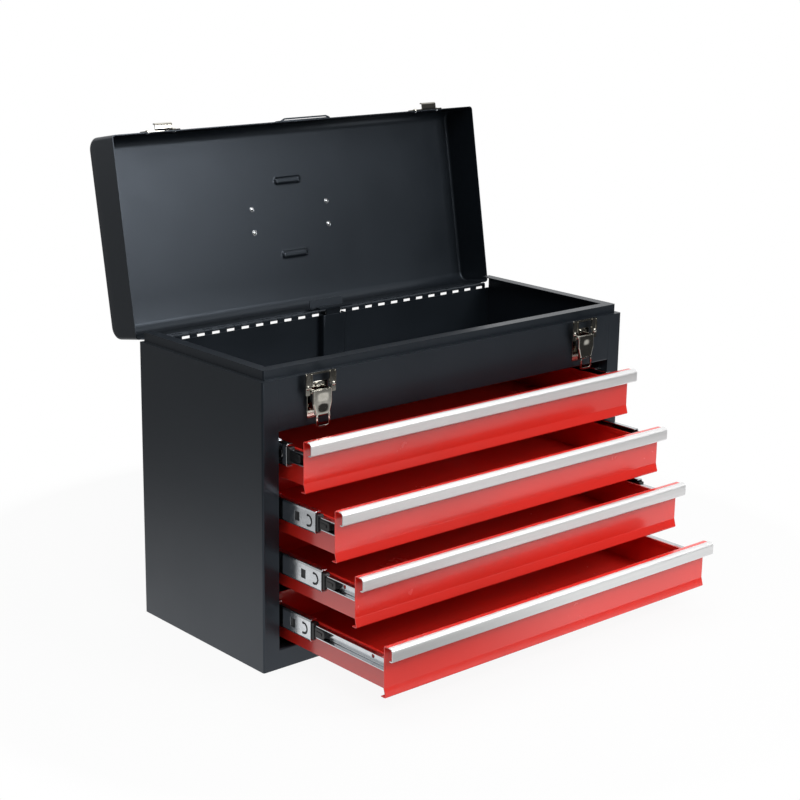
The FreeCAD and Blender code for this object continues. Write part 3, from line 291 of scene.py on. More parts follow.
@dataclass(frozen=True)
class SpangleGroup(Group):
    """Faint crystal patches of zinc: cell tints and a soft cloud."""

    coarser: float = 0.25
    octaves: float = 4.0

    def pattern(self, tree: Tree, vector: Socket, scale: Socket) -> dict[str, Socket]:
        """Nodes of the pattern.

        Args:
            tree: the group's tree.
            vector: where the pattern is read.
            scale: cells per metre.

        Returns:
            The masks Patches and Cloud.
        """
        cells = tree.add("TexVoronoi", feature="F1", Vector=vector, Scale=scale)
        tint = tree.add("SeparateColor", Color=cells.outputs["Color"])
        cloud = tree.noise(vector, tree.maths("MULTIPLY", scale, self.coarser), self.octaves)
        return {"Patches": tint.outputs[0], "Cloud": cloud}


@dataclass(frozen=True)
class HandlingGroup(Group):
    """Very soft, broad change of gloss, as fingers and cloths leave on a new piece."""

    finer: float = 9.0
    weights: Pair = (0.75, 0.25)

    def pattern(self, tree: Tree, vector: Socket, scale: Socket) -> dict[str, Socket]:
        """Nodes of the pattern.

        Args:
            tree: the group's tree.
            vector: where the pattern is read.
            scale: cells per metre.

        Returns:
            The mask Gloss.
        """
        broad = tree.noise(vector, scale, 3.0)
        fine = tree.noise(vector, tree.maths("MULTIPLY", scale, self.finer), 2.0)
        return {"Gloss": tree.weighed(broad, self.weights[0], fine, self.weights[1])}


GROUPS = (
    GrainGroup(Effect.GRAIN, {"Scale": 900.0}),
    BrushedGroup(Effect.BRUSHED, {"Scale": 1500.0, "Stretch": 0.012}),
    SpangleGroup(Effect.SPANGLE, {"Scale": 260.0}),
    HandlingGroup(Effect.HANDLING, {"Scale": 14.0}),
)


# Finishes

MIDDLE = (0.25, 0.75)


class Slot(Enum):
    """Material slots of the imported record."""

    BLACK = "black_paint"
    RED = "red_paint"
    ALUMINIUM = "satin_aluminium"
    ZINC = "zinc_steel"
    NICKEL = "nickel"
    PLASTIC = "black_plastic"


@dataclass(frozen=True)
class Masks:
    """Patterns that a finish follows in tone, relief and, where it varies, gloss."""

    tone: Socket
    height: Socket
    gloss: Socket | None = None


@dataclass(frozen=True)
class Finish:
    """What every finish has: its slot, colours, roughness and relief."""

    slot: Slot
    colour: Triple
    pale: Triple
    roughness: float
    depth: float
    spread: Pair = (0.0, 0.0)

    def effect(self, tree: Tree, effect: Effect, place: Socket, **numbers: float) -> dict:
        """Outputs of a shared shader group that reads the place and these numbers."""
        group = bpy.data.node_groups[effect.value]
        return tree.add("Group", node_tree=group, Vector=place, **numbers).outputs

    def uniform(self) -> dict[str, object]:
        """Values that hold all over the surface, by the shader's inputs."""
        return {"Base Color": (*self.colour, 1.0), "Roughness": self.roughness}

    def masks(self, tree: Tree, place: Socket) -> Masks:
        """The patterns of this finish, read at the place."""
        raise NotImplementedError

    def build(self) -> bpy.types.Material:
        """Make the material: tone, gloss and relief each follow a pattern.

        The middle half of a pattern's range is stretched to the full change.

        Returns:
            The new material.
        """
        material = bpy.data.materials.new("finish_" + self.slot.value)
        material.use_nodes = True
        tree = Tree(material.node_tree)
        shader = material.node_tree.nodes["Principled BSDF"]
        for name, value in self.uniform().items():
            shader.inputs[name].default_value = value
        masks = self.masks(tree, tree.add("TexCoord").outputs["Object"])
        tone = tree.ranged(masks.tone, *MIDDLE, ramp=Ramp.EVEN)
        colour = tree.mix(Blend.COLOUR, tone, (*self.colour, 1.0), (*self.pale, 1.0))
        tree.feed(shader.inputs["Base Color"], colour)
        if masks.gloss:
            low, high = self.roughness - self.spread[0], self.roughness + self.spread[1]
            gloss = tree.ranged(masks.gloss, *MIDDLE, low, high, Ramp.EVEN)
            tree.feed(shader.inputs["Roughness"], gloss)
        relief = tree.add("Bump", Height=masks.height, Distance=self.depth, Strength=1.0)
        tree.feed(shader.inputs["Normal"], relief.outputs[0])
        return material


@dataclass(frozen=True)
class PowderCoat(Finish):
    """Baked powder: pebbled skin, soft change of tone, a thin clear sheen."""

    grain: float = 1100.0
    tint: Triple = (1.0, 1.0, 1.0)
    coat: float = 0.0
    coat_roughness: float = 0.0

    def uniform(self) -> dict[str, object]:
        """The common values, the tint of the sheen and the clear coat."""
        coat = {"Coat Weight": self.coat, "Coat Roughness": self.coat_roughness}
        return super().uniform() | {"Specular Tint": (*self.tint, 1.0)} | coat

    def masks(self, tree: Tree, place: Socket) -> Masks:
        """Tone and relief from the grain, gloss from handling.

        Args:
            tree: the material's tree.
            place: where the patterns are read.

        Returns:
            The finish's masks.
        """
        grain = self.effect(tree, Effect.GRAIN, place, Scale=self.grain)
        handling = self.effect(tree, Effect.HANDLING, place)
        return Masks(grain["Tone"], grain["Height"], handling["Gloss"])


@dataclass(frozen=True)
class Metal(Finish):
    """Bare or plated metal."""

    def uniform(self) -> dict[str, object]:
        """The common values, and full metal."""
        return super().uniform() | {"Metallic": 1.0}


@dataclass(frozen=True)
class BrushedMetal(Metal):
    """Anodised strip drawn lengthwise, with fine lines along X."""

    def masks(self, tree: Tree, place: Socket) -> Masks:
        """Tone from the coarse bands, gloss and relief from the lines."""
        brushed = self.effect(tree, Effect.BRUSHED, place)
        return Masks(brushed["Bands"], brushed["Lines"], brushed["Lines"])


@dataclass(frozen=True)
class PlatedSteel(Metal):
    """Plated steel: crystal patches in gloss over a faint cloud in tone."""

    scale: float = 300.0

    def masks(self, tree: Tree, place: Socket) -> Masks:
        """Tone and relief from the cloud, gloss from the patches."""
        spangle = self.effect(tree, Effect.SPANGLE, place, Scale=self.scale)
        return Masks(spangle["Cloud"], spangle["Cloud"], spangle["Patches"])


@dataclass(frozen=True)
class MouldedPlastic(Finish):
    """Moulded plastic with a fine matt grain."""

    grain: float = 1600.0

    def masks(self, tree: Tree, place: Socket) -> Masks:
        """Tone and relief from the grain; the gloss is even."""
        grain = self.effect(tree, Effect.GRAIN, place, Scale=self.grain)
        return Masks(grain["Tone"], grain["Height"])


FINISHES = (
    PowderCoat(
        Slot.BLACK, (0.0050, 0.0068, 0.0090), (0.0062, 0.0084, 0.0112), 0.36, 0.00005,
        (0.04, 0.05), grain=1100.0, tint=(0.74, 0.85, 1.0), coat=0.0, coat_roughness=0.32,
    ),
    PowderCoat(
        Slot.RED, (0.60, 0.025, 0.017), (0.75, 0.021, 0.013), 0.24, 0.000016,
        (0.04, 0.05), grain=420.0, coat=0.6, coat_roughness=0.12,
    ),
    BrushedMetal(
        Slot.ALUMINIUM, (0.70, 0.70, 0.70), (0.78, 0.78, 0.78), 0.50, 0.000012, (0.06, 0.08),
    ),
    PlatedSteel(
        Slot.ZINC, (0.50, 0.52, 0.54), (0.60, 0.62, 0.64), 0.20, 0.000006, (0.03, 0.03),
        scale=300.0,
    ),
    # Both nickel colours are set far darker than bare nickel plate: painted shade that stands in for the dark
    # surroundings the latch levers and catches reflect.
    PlatedSteel(
        Slot.NICKEL, (0.31, 0.297, 0.262), (0.42, 0.405, 0.365), 0.09, 0.00001, (0.02, 0.02),
        scale=420.0,
    ),
    MouldedPlastic(
        Slot.PLASTIC, (0.004, 0.004, 0.005), (0.007, 0.007, 0.008), 0.36, 0.00003, grain=1600.0,
    ),
)


class Paintshop:
    """Holds the built finishes and dresses nodes and pieces with them."""

    def __init__(self) -> None:
        """Build the shader groups and every finish."""
        for group in GROUPS:
            group.make()
        self.materials = {finish.slot: finish.build() for finish in FINISHES}

    def dress(self, thing: bpy.types.Object, slot: Slot) -> None:
        """Give an object one finish."""
        thing.data.materials.clear()
        thing.data.materials.append(self.materials[slot])

    def dress_nodes(self) -> None:
        """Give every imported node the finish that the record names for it."""
        for row in frame["record"]["subparts"]:
            self.dress(frame["nodes"][row["node"]], Slot(row["material_slot"]))


@dataclass(frozen=True)
class EdgeSoftener:
    """Rounds an object's sharp edges with live modifiers."""

    width: float = 0.2 * MM
    sharp: float = math.radians(35.0)
    segments: int = 2
    weld: float = 0.0

    def soften(self, thing: bpy.types.Object) -> None:
        """Add the modifiers.

        Args:
            thing: the node or piece to soften; its loose triangles are joined
                first where there is a weld distance.
        """
        if self.weld:
            thing.modifiers.new("joined", "WELD").merge_threshold = self.weld
        bevel = thing.modifiers.new("edges", "BEVEL")
        bevel.width = self.width
        bevel.segments = self.segments
        bevel.limit_method = "ANGLE"
        bevel.angle_limit = self.sharp


NODE_SOFTENER = EdgeSoftener(0.25 * MM, math.radians(40.0), weld=0.001 * MM)


# Surfaces worked out as arrays

@dataclass
class Skin:
    """Points and four-sided faces of one or more closed surfaces."""

    points: Array
    faces: Array

    @staticmethod
    def joined(*skins: "Skin") -> "Skin":
        """Put several surfaces into one.

        Args:
            skins: the surfaces.

        Returns:
            One surface of them all, with the face numbers moved on.
        """
        counts = np.cumsum([0] + [len(skin.points) for skin in skins[:-1]])
        points = np.concatenate([skin.points for skin in skins])
        faces = np.concatenate([skin.faces + start for skin, start in zip(skins, counts)])
        return Skin(points, faces)

    def moved(self, x: float = 0.0, y: float = 0.0, z: float = 0.0) -> "Skin":
        """The same surface moved by three lengths."""
        return Skin(self.points + np.array((x, y, z)), self.faces)

    def mirrored(self) -> "Skin":
        """The same surface on the other side of X = 0, turned right side out."""
        return Skin(self.points * np.array((-1.0, 1.0, 1.0)), self.faces[:, ::-1])

    def reordered(self, order: tuple[int, int, int]) -> "Skin":
        """The same surface with its three coordinates taken in another order."""
        return Skin(self.points[:, list(order)], self.faces)

    def turned(self, angle: float, y: float, z: float) -> "Skin":
        """The surface turned about an axis along X.

        Args:
            angle: turn in radians, positive from +Y to +Z.
            y: where the axis lies.
            z: where the axis lies.

        Returns:
            The turned surface: each point is rotated round (y, z).
        """
        across, up = self.points[:, 1] - y, self.points[:, 2] - z
        points = self.points.copy()
        points[:, 1] = y + across * math.cos(angle) - up * math.sin(angle)
        points[:, 2] = z + across * math.sin(angle) + up * math.cos(angle)
        return Skin(points, self.faces)


def grid_faces(rows: int, columns: int, wrap: bool = False) -> Array:
    """Faces of a grid of points, each from a point, its next in the row and the row above.

    Args:
        rows: number of rows of points.
        columns: number of points in a row.
        wrap: whether each row closes on itself.

    Returns:
        An array of four point numbers per face.
    """
    numbers = np.arange(rows * columns).reshape(rows, columns)
    if wrap:
        numbers = np.concatenate([numbers, numbers[:, :1]], axis=1)
    return np.stack(
        [numbers[:-1, :-1], numbers[:-1, 1:], numbers[1:, 1:], numbers[1:, :-1]], axis=-1
    ).reshape(-1, 4)


def ladder(count: int) -> Array:
    """Faces that close an end whose outline pairs up across it, first point with last.

    Args:
        count: number of points of the outline.

    Returns:
        An array of four point numbers per face.
    """
    steps = np.arange(count // 2 - 1)
    return np.stack([steps, steps + 1, count - 2 - steps, count - 1 - steps], -1)


def unit(vectors: Array) -> Array:
    """Vectors divided by their own lengths."""
    return vectors / np.linalg.norm(vectors, axis=-1, keepdims=True)


def bent_line(
    corners: list[Pair], radii: tuple[float, ...], steps: int = ARC_POINTS
) -> tuple[Array, Array]:
    """Straight runs joined by arcs.

    Each inner corner becomes the arc of its radius that touches both runs: its
    centre lies on the corner's bisector, radius over the sine of the half angle
    away, and its points are centre plus radius times cosine and sine.

    Args:
        corners: the line's corners, in millimetres.
        radii: one radius for each inner corner.
        steps: points on each arc.

    Returns:
        The line's points and their unit tangents, in metres.
    """
    corner = np.array(corners, float)
    radius = np.array(radii, float)[:, None]
    back, ahead = unit(corner[:-2] - corner[1:-1]), unit(corner[2:] - corner[1:-1])
    half = np.arccos(np.clip((back * ahead).sum(-1, keepdims=True), -1, 1)) / 2
    centre = corner[1:-1] + unit(back + ahead) * radius / np.sin(half)
    start = corner[1:-1] + back * radius / np.tan(half) - centre
    finish = corner[1:-1] + ahead * radius / np.tan(half) - centre
    first = np.arctan2(start[:, 1], start[:, 0])[:, None]
    cross = (start[:, 0] * finish[:, 1] - start[:, 1] * finish[:, 0])[:, None]
    sweep = np.sign(cross) * (np.pi - 2 * half)
    angle = first + sweep * np.linspace(0, 1, steps)
    arc = centre[:, None] + radius[:, None] * np.stack([np.cos(angle), np.sin(angle)], -1)
    turn = np.sign(sweep)[:, :, None] * np.stack([-np.sin(angle), np.cos(angle)], -1)
    ends = unit(corner[[1, -1]] - corner[[0, -2]])
    line = np.concatenate([corner[:1], arc.reshape(-1, 2), corner[-1:]])
    tangents = np.concatenate([ends[:1], turn.reshape(-1, 2), ends[1:]])
    return line * MM, tangents


def evened(line: Array, tangents: Array, count: int) -> tuple[Array, Array]:
    """The same line read at even steps of its length, by linear interpolation.

    Args:
        line: its points.
        tangents: its unit tangents.
        count: how many points to read.

    Returns:
        The new points and unit tangents.
    """
    length = np.concatenate([[0], np.cumsum(np.linalg.norm(np.diff(line, axis=0), axis=1))])
    at = np.linspace(0, length[-1], count)
    points = np.stack([np.interp(at, length, line[:, axis]) for axis in (0, 1)], -1)
    turned = np.stack([np.interp(at, length, tangents[:, axis]) for axis in (0, 1)], -1)
    return points, unit(turned)


def sheet_outline(line: Array, tangents: Array, thickness: float) -> Array:
    """Outline of a bent sheet: the middle line moved half a thickness to each side."""
    normal = np.stack([-tangents[:, 1], tangents[:, 0]], -1) * thickness / 2
    return np.concatenate([line + normal, (line - normal)[::-1]])


def bent_sheet(
    corners: list[Pair], radii: tuple[float, ...], thickness: float, steps: int = ARC_POINTS
) -> Array:
    """Outline in metres of a sheet whose middle line is bent at the corners."""
    return sheet_outline(*bent_line(corners, radii, steps), thickness * MM)


def carried(outlines: Array, places: Array) -> Skin:
    """A solid through outlines that stand one behind another along X.

    Args:
        outlines: for each place, points (y, z) that pair up first with last.
        places: where each outline stands along X.

    Returns:
        The surface, with both ends closed by ladders between the pairs.
    """
    rows, count = outlines.shape[:2]
    points = np.empty((rows, count, 3))
    points[..., 0] = places[:, None]
    points[..., 1:] = outlines
    cap = ladder(count)
    faces = [grid_faces(rows, count, wrap=True), cap, cap[:, ::-1] + (rows - 1) * count]
    return Skin(points.reshape(-1, 3), np.concatenate(faces))


def along_x(outline: Array, start: float, end: float) -> Skin:
    """A solid of one outline from start to end along X."""
    return carried(np.stack([outline, outline]), np.array([start, end]))


class Axis(Enum):
    """Axis of a turned surface, with the order that brings its coordinates in place."""

    X = (0, 1, 2)
    Y = (1, 0, 2)
    Z = (1, 2, 0)


def spun(profile: list[Pair], segments: int, axis: Axis, sign: float = 1.0) -> Skin:
    """A profile of radius and height turned about an axis through the origin.

    A point is radius times the cosine and sine of the turn across the axis, and
    height along it.

    Args:
        profile: radius and height of each point, in millimetres.
        segments: faces round the axis.
        axis: the axis of the turn.
        sign: which way the height runs along the axis.

    Returns:
        The turned surface.
    """
    shape = np.array(profile, float) * MM
    angle = np.linspace(0, 2 * np.pi, segments, endpoint=False)
    rings = np.stack([
        np.repeat(shape[:, 1:] * sign, segments, axis=1),
        shape[:, :1] * np.cos(angle),
        shape[:, :1] * np.sin(angle),
    ], -1)
    turned = rings.reshape(-1, 3)[:, axis.value]
    return Skin(turned, grid_faces(len(shape), segments, wrap=True))


def swept(path: Array, radius: float, segments: int) -> Skin:
    """A round rod along a path in one plane of constant Y.

    A point is the path's point plus radius times (cosine of the normal in the
    plane plus sine of Y).

    Args:
        path: the rod's middle line.
        radius: the rod's radius.
        segments: faces round the rod.

    Returns:
        The rod's surface, with flat ends.
    """
    tangent = unit(np.gradient(path, axis=0))
    normal = np.stack([-tangent[:, 2], np.zeros(len(path)), tangent[:, 0]], -1)
    side = np.array((0.0, 1.0, 0.0))
    angle = np.linspace(0, 2 * np.pi, segments, endpoint=False)
    rings = path[:, None] + radius * (
        np.cos(angle)[:, None] * normal[:, None] + np.sin(angle)[:, None] * side
    )
    centres = np.repeat(path[[0, -1]][:, None], segments, axis=1)
    points = np.concatenate([centres[:1], rings, centres[1:]])
    return Skin(points.reshape(-1, 3), grid_faces(len(points), segments, wrap=True))


def quarter(radius: float, height: float, foot: float = 0.0) -> list[Pair]:
    """Radius and height of a quarter ellipse from its rim to its top, over a foot."""
    turn = np.linspace(0, np.pi / 2, ARC_POINTS)
    return list(zip(radius * np.cos(turn), foot + height * np.sin(turn)))


def dome(radius: float, height: float) -> list[Pair]:
    """Profile of a rivet head: a quarter ellipse on a flat back."""
    return [(0.0, 0.0), *quarter(radius, height)[:-1], (0.0, height)]


# Workshop: turns surfaces into dressed pieces

def linked(name: str, data: bpy.types.ID) -> bpy.types.Object:
    """Put data into the scene.

    Args:
        name: the new object's name.
        data: its mesh, lamp or camera.

    Returns:
        The new object.
    """
    thing = bpy.data.objects.new(name, data)
    bpy.context.scene.collection.objects.link(thing)
    return thing


@dataclass(frozen=True)
class Workshop:
    """Makes the pieces, dresses them and lets them ride on their bodies."""

    paint: Paintshop
    merge: float = 0.0005 * MM
    shortest: float = 0.0001 * MM
    crease: float = math.radians(35.0)

    def piece(
        self, name: str, skin: Skin, body: str, slot: Slot,
        replaces: tuple[str, ...] = (), softener: EdgeSoftener | None = EdgeSoftener(),
    ) -> None:
        """Make one piece from a surface.

        Args:
            name: the piece's name.
            skin: its surface, in metres in the part's frame.
            body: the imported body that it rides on.
            slot: its finish.
            replaces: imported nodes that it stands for.
            softener: what rounds its sharp edges, if anything.
        """
        mesh = bpy.data.meshes.new(name)
        mesh.from_pydata(skin.points.tolist(), [], skin.faces.tolist())
        work = bmesh.new()
        work.from_mesh(mesh)
        bmesh.ops.remove_doubles(work, verts=work.verts, dist=self.merge)
        bmesh.ops.dissolve_degenerate(work, edges=work.edges, dist=self.shortest)
        bmesh.ops.recalc_face_normals(work, faces=work.faces)
        work.to_mesh(mesh)
        work.free()
        mesh.shade_smooth()
        mesh.set_sharp_from_angle(angle=self.crease)
        thing = linked(name, mesh)
        if softener:
            softener.soften(thing)
        self.paint.dress(thing, slot)
        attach(thing, body)
        if replaces:
            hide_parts(*replaces)
        LOG.info("piece %s: %d faces on %s", name, len(mesh.polygons), body)


# Sub-assemblies, drawn in millimetres

def joint_row(name: str) -> dict:
    """The record's row of one joint."""
    return next(row for row in frame["joints"] if row["name"] == name)


def smooth_step(values: Array) -> Array:
    """Zero below 0, one above 1, and three times the square less twice the cube between."""
    share = np.clip(values, 0.0, 1.0)
    return share * share * (3 - 2 * share)


def round_plate(
    half: float, low: float, high: float, radius: float, near: float, far: float
) -> Skin:
    """An upright plate with round corners that faces the front.

    Near an end the half width shrinks by the radius less the root of the
    radius squared less the distance squared.

    Args:
        half: half the plate's width.
        low: its lower edge.
        high: its upper edge.
        radius: radius of its corners.
        near: where one face lies along Y.
        far: where the other face lies along Y.

    Returns:
        The plate's closed surface.
    """
    turn = np.linspace(0, np.pi / 2, ARC_POINTS - 1)
    rise, draw = radius * (1 - np.cos(turn)), radius * (1 - np.sin(turn))
    heights = np.concatenate([low + rise, (high - rise)[::-1]])
    halves = np.concatenate([half - draw, (half - draw)[::-1]])
    side = np.stack([halves, heights], -1)
    outline = np.concatenate([side * np.array((-1.0, 1.0)), side[::-1]]) * MM
    return along_x(outline, near * MM, far * MM).reordered((1, 0, 2))


@dataclass(frozen=True)
class LidFrame:
    """The lid's turn from shut to the pose at rest, about its hinge."""

    y: float
    z: float
    angle: float

    @staticmethod
    def from_joint() -> "LidFrame":
        """Read the axis and the turn from the lid's joint."""
        joint = joint_row("lid_hinge")
        return LidFrame(joint["pos_m"][1], joint["pos_m"][2], -math.radians(joint["range_deg"][1]))

    def opened(self, skin: Skin) -> Skin:
        """A surface drawn with the lid shut, turned to the pose at rest."""
        return skin.turned(self.angle, self.y, self.z)


@dataclass(frozen=True)
class Lid:
    """Pressed lid shell with two dimples, one thin closed surface."""

    frame: LidFrame
    half_width: float = 260.0
    half_depth: float = 109.0
    bottom: float = 308.2
    top: float = 358.7
    rear_lift: float = 1.8
    sheet: float = 1.0
    edge_radius: float = 14.0
    end_radius: float = 4.0
    edge_bevel: float = 0.15
    dimple_half: Pair = (19.5, 5.0)
    dimple_radius: float = 4.6
    dimple_depth: float = 2.2
    dimple_slope: float = 2.6
    dimple_place: float = 43.0
    fine_half: Pair = (30.0, 9.0)
    fine_step: float = 1.25
    fine_rows: int = 17
    plain_places: tuple[float, float, int] = (45.0, 245.0, 6)
    inner_rows: tuple[float, ...] = (3.0, 16.0)
    outer_row: float = 70.0
    wall_rows: int = 3
    edge_steps: int = 10
    end_steps: int = 7

    def stations(self, inset: float) -> tuple[Array, Array]:
        """Places along X and how far the section is drawn in at each.

        Along the rounded end the place is the end's centre plus its radius times
        the sine of the turn, and the section is drawn in by the radius less its
        cosine share.

        Args:
            inset: how far the surface lies inside the lid's outside.

        Returns:
            The places and the insets, from left to right.
        """
        radius = self.end_radius - inset
        turn = np.linspace(0, np.pi / 2, self.end_steps)
        ends = self.half_width - self.end_radius + radius * np.sin(turn)
        drawn = inset + radius * (1 - np.cos(turn))
        plain = np.linspace(*self.plain_places)
        reach, step = self.fine_half[0], self.fine_step
        fine = np.arange(-reach, reach + step / 2, step)
        side = np.concatenate([plain, ends])
        inward = np.concatenate([np.full(len(plain), inset), drawn])
        places = np.concatenate([-side[::-1], fine, side])
        insets = np.concatenate([inward[::-1], np.full(len(fine), inset), inward])
        return places, insets

    def section(self) -> tuple[Array, Array]:
        """Anchors and outward normals of the section's points.

        A point of any inset is its anchor plus the edge radius less the inset
        times its normal: walls and top are moved straight, corners round.

        Returns:
            The anchors (y, z) from the front rim over the top to the rear rim,
            and the normal at each.
        """
        reach = self.half_depth - self.edge_radius
        level = self.top - self.edge_radius
        turn = np.linspace(0, np.pi / 2, self.edge_steps)
        wide = self.fine_half[1]
        fine = self.dimple_place + np.linspace(-wide, wide, self.fine_rows)
        rear_y = np.concatenate([self.inner_rows, fine, [self.outer_row]])
        flat_level = np.full(len(rear_y), level)
        lows = (self.bottom, self.bottom + self.rear_lift)
        walls = [np.linspace(low, level, self.wall_rows + 1)[:-1] for low in lows]
        anchors = np.concatenate([
            np.stack([np.full(self.wall_rows, -reach), walls[0]], -1),
            np.tile((-reach, level), (self.edge_steps, 1)),
            np.stack([-rear_y[::-1], flat_level], -1),
            np.stack([rear_y, flat_level], -1),
            np.tile((reach, level), (self.edge_steps, 1)),
            np.stack([np.full(self.wall_rows, reach), walls[1][::-1]], -1),
        ])
        rounding = np.stack([-np.cos(turn), np.sin(turn)], -1)
        normals = np.concatenate([
            np.tile((-1.0, 0.0), (self.wall_rows, 1)), rounding,
            np.tile((0.0, 1.0), (2 * len(rear_y), 1)),
            rounding[::-1] * (-1, 1), np.tile((1.0, 0.0), (self.wall_rows, 1)),
        ])
        return anchors, normals

    def dimple(self, x: Array, y: Array) -> Array:
        """Depth of the two pressed dimples.

        The distance to a rounded slot is the length of what lies outside its
        core, less its radius; the depth grows by a smooth step of that distance.

        Args:
            x: places along X.
            y: places along Y, of the same shape.

        Returns:
            The depth at each place.
        """
        core = np.array(self.dimple_half) - self.dimple_radius
        outside_x = np.maximum(np.abs(x) - core[0], 0.0)
        outside_y = np.maximum(np.abs(np.abs(y) - self.dimple_place) - core[1], 0.0)
        distance = self.dimple_radius - np.hypot(outside_x, outside_y)
        return self.dimple_depth * smooth_step(distance / self.dimple_slope)

    def surface(self, inset: float) -> Array:
        """Points of the shell's outside or inside.

        Args:
            inset: zero for the outside, the sheet for the inside.

        Returns:
            A grid of points, by place along X and point of the section.
        """
        places, insets = self.stations(inset)
        anchors, normals = self.section()
        points = np.empty((len(places), len(anchors), 3))
        points[..., 0] = places[:, None]
        points[..., 1:] = anchors + (self.edge_radius - insets)[:, None, None] * normals
        on_top = normals[:, 1] == 1.0
        depth = self.dimple(points[..., 0], points[..., 1])
        points[..., 2] -= np.where(on_top, depth, 0.0)
        return points

    def skin(self) -> Skin:
        """Outside and inside, with their flat ends, joined along the rim.

        Returns:
            The closed surface, with the lid shut.
        """
        outside, inside = self.surface(0.0), self.surface(self.sheet)
        rows, columns = outside.shape[:2]
        count = rows * columns
        numbers = np.arange(count).reshape(rows, columns)
        left_end = ladder(columns)
        right_end = left_end[:, ::-1] + count - columns
        cover = np.concatenate([grid_faces(rows, columns), left_end, right_end])
        loop = np.concatenate([numbers[:, 0], numbers[::-1, -1]])
        after = np.roll(loop, -1)
        rim = np.stack([loop, after, after + count, loop + count], -1)
        points = np.concatenate([outside.reshape(-1, 3), inside.reshape(-1, 3)]) * MM
        return Skin(points, np.concatenate([cover, cover[:, ::-1] + count, rim]))

    def build(self, shop: Workshop) -> None:
        """Make the lid."""
        skin, softener = self.frame.opened(self.skin()), EdgeSoftener(self.edge_bevel * MM)
        shop.piece("lid_pressed", skin, "lid", Slot.BLACK, ("lid_shell",), softener)


@dataclass(frozen=True)
class Handle:
    """Round bent rod and its ribbed grip, hanging from the brackets."""

    rod_radius: float = 3.0
    stub_end: float = 63.0
    leg: float = 45.0
    stub_bend: float = 3.5
    rod_bend: float = 9.0
    bend_points: int = 9
    drop: float = 36.0
    grip_half: float = 33.0
    grip_radius: float = 7.0
    grip_end: float = 2.2
    groove_depth: float = 0.8
    groove_half: float = 1.9
    groove_step: float = 11.0
    grooves: int = 5
    grip_rows: int = 133
    grip_sides: int = 32

    def rod(self, y: float, z: float) -> Skin:
        """The rod: a circle carried along straight runs and bends.

        Args:
            y: where the handle's pivot lies, in metres.
            z: where the handle's pivot lies, in metres.

        Returns:
            The rod's surface.
        """
        half = [(self.leg, -self.drop), (self.leg, 0.0), (self.stub_end, 0.0)]
        corners = [(-x, level) for x, level in half[::-1]] + half
        bends = (self.stub_bend, self.rod_bend, self.rod_bend, self.stub_bend)
        line, _ = bent_line(corners, bends, self.bend_points)
        path = np.stack([line[:, 0], np.full(len(line), y), line[:, 1] + z], -1)
        return swept(path, self.rod_radius * MM, HEAD_SIDES)

    def grip(self) -> Skin:
        """The grip: its radius less a cosine groove every step, eased at both ends.

        Within half a groove of a groove's middle the radius shrinks by the depth
        times the squared cosine of the distance; near an end it follows a
        quarter circle.

        Returns:
            The grip's surface round the X axis.
        """
        along = np.linspace(-self.grip_half, self.grip_half, self.grip_rows)
        half_step = self.groove_step / 2
        from_groove = np.abs((along + half_step) % self.groove_step - half_step)
        inside = np.clip(from_groove / self.groove_half, 0, 1)
        grooved = np.abs(along) < self.grooves * half_step
        groove = np.where(grooved, self.groove_depth * np.cos(inside * np.pi / 2) ** 2, 0.0)
        past = np.clip((np.abs(along) - self.grip_half + self.grip_end) / self.grip_end, 0, 1)
        radius = self.grip_radius - groove - self.grip_end * (1 - np.sqrt(1 - past ** 2))
        profile = [(0.0, -self.grip_half), *zip(radius, along), (0.0, self.grip_half)]
        return spun(profile, self.grip_sides, Axis.X)

    def build(self, shop: Workshop) -> None:
        """Make the rod and the grip.

        Args:
            shop: the workshop that makes the pieces.
        """
        _, y, z = joint_row("handle_pivot")["pos_m"]
        shop.piece("handle_rod", self.rod(y, z), "handle", Slot.NICKEL, ("handle_bail",))
        grip = self.grip().moved(y=y, z=z - self.drop * MM)
        shop.piece("handle_ribbed_grip", grip, "handle", Slot.PLASTIC, ("handle_grip",), None)


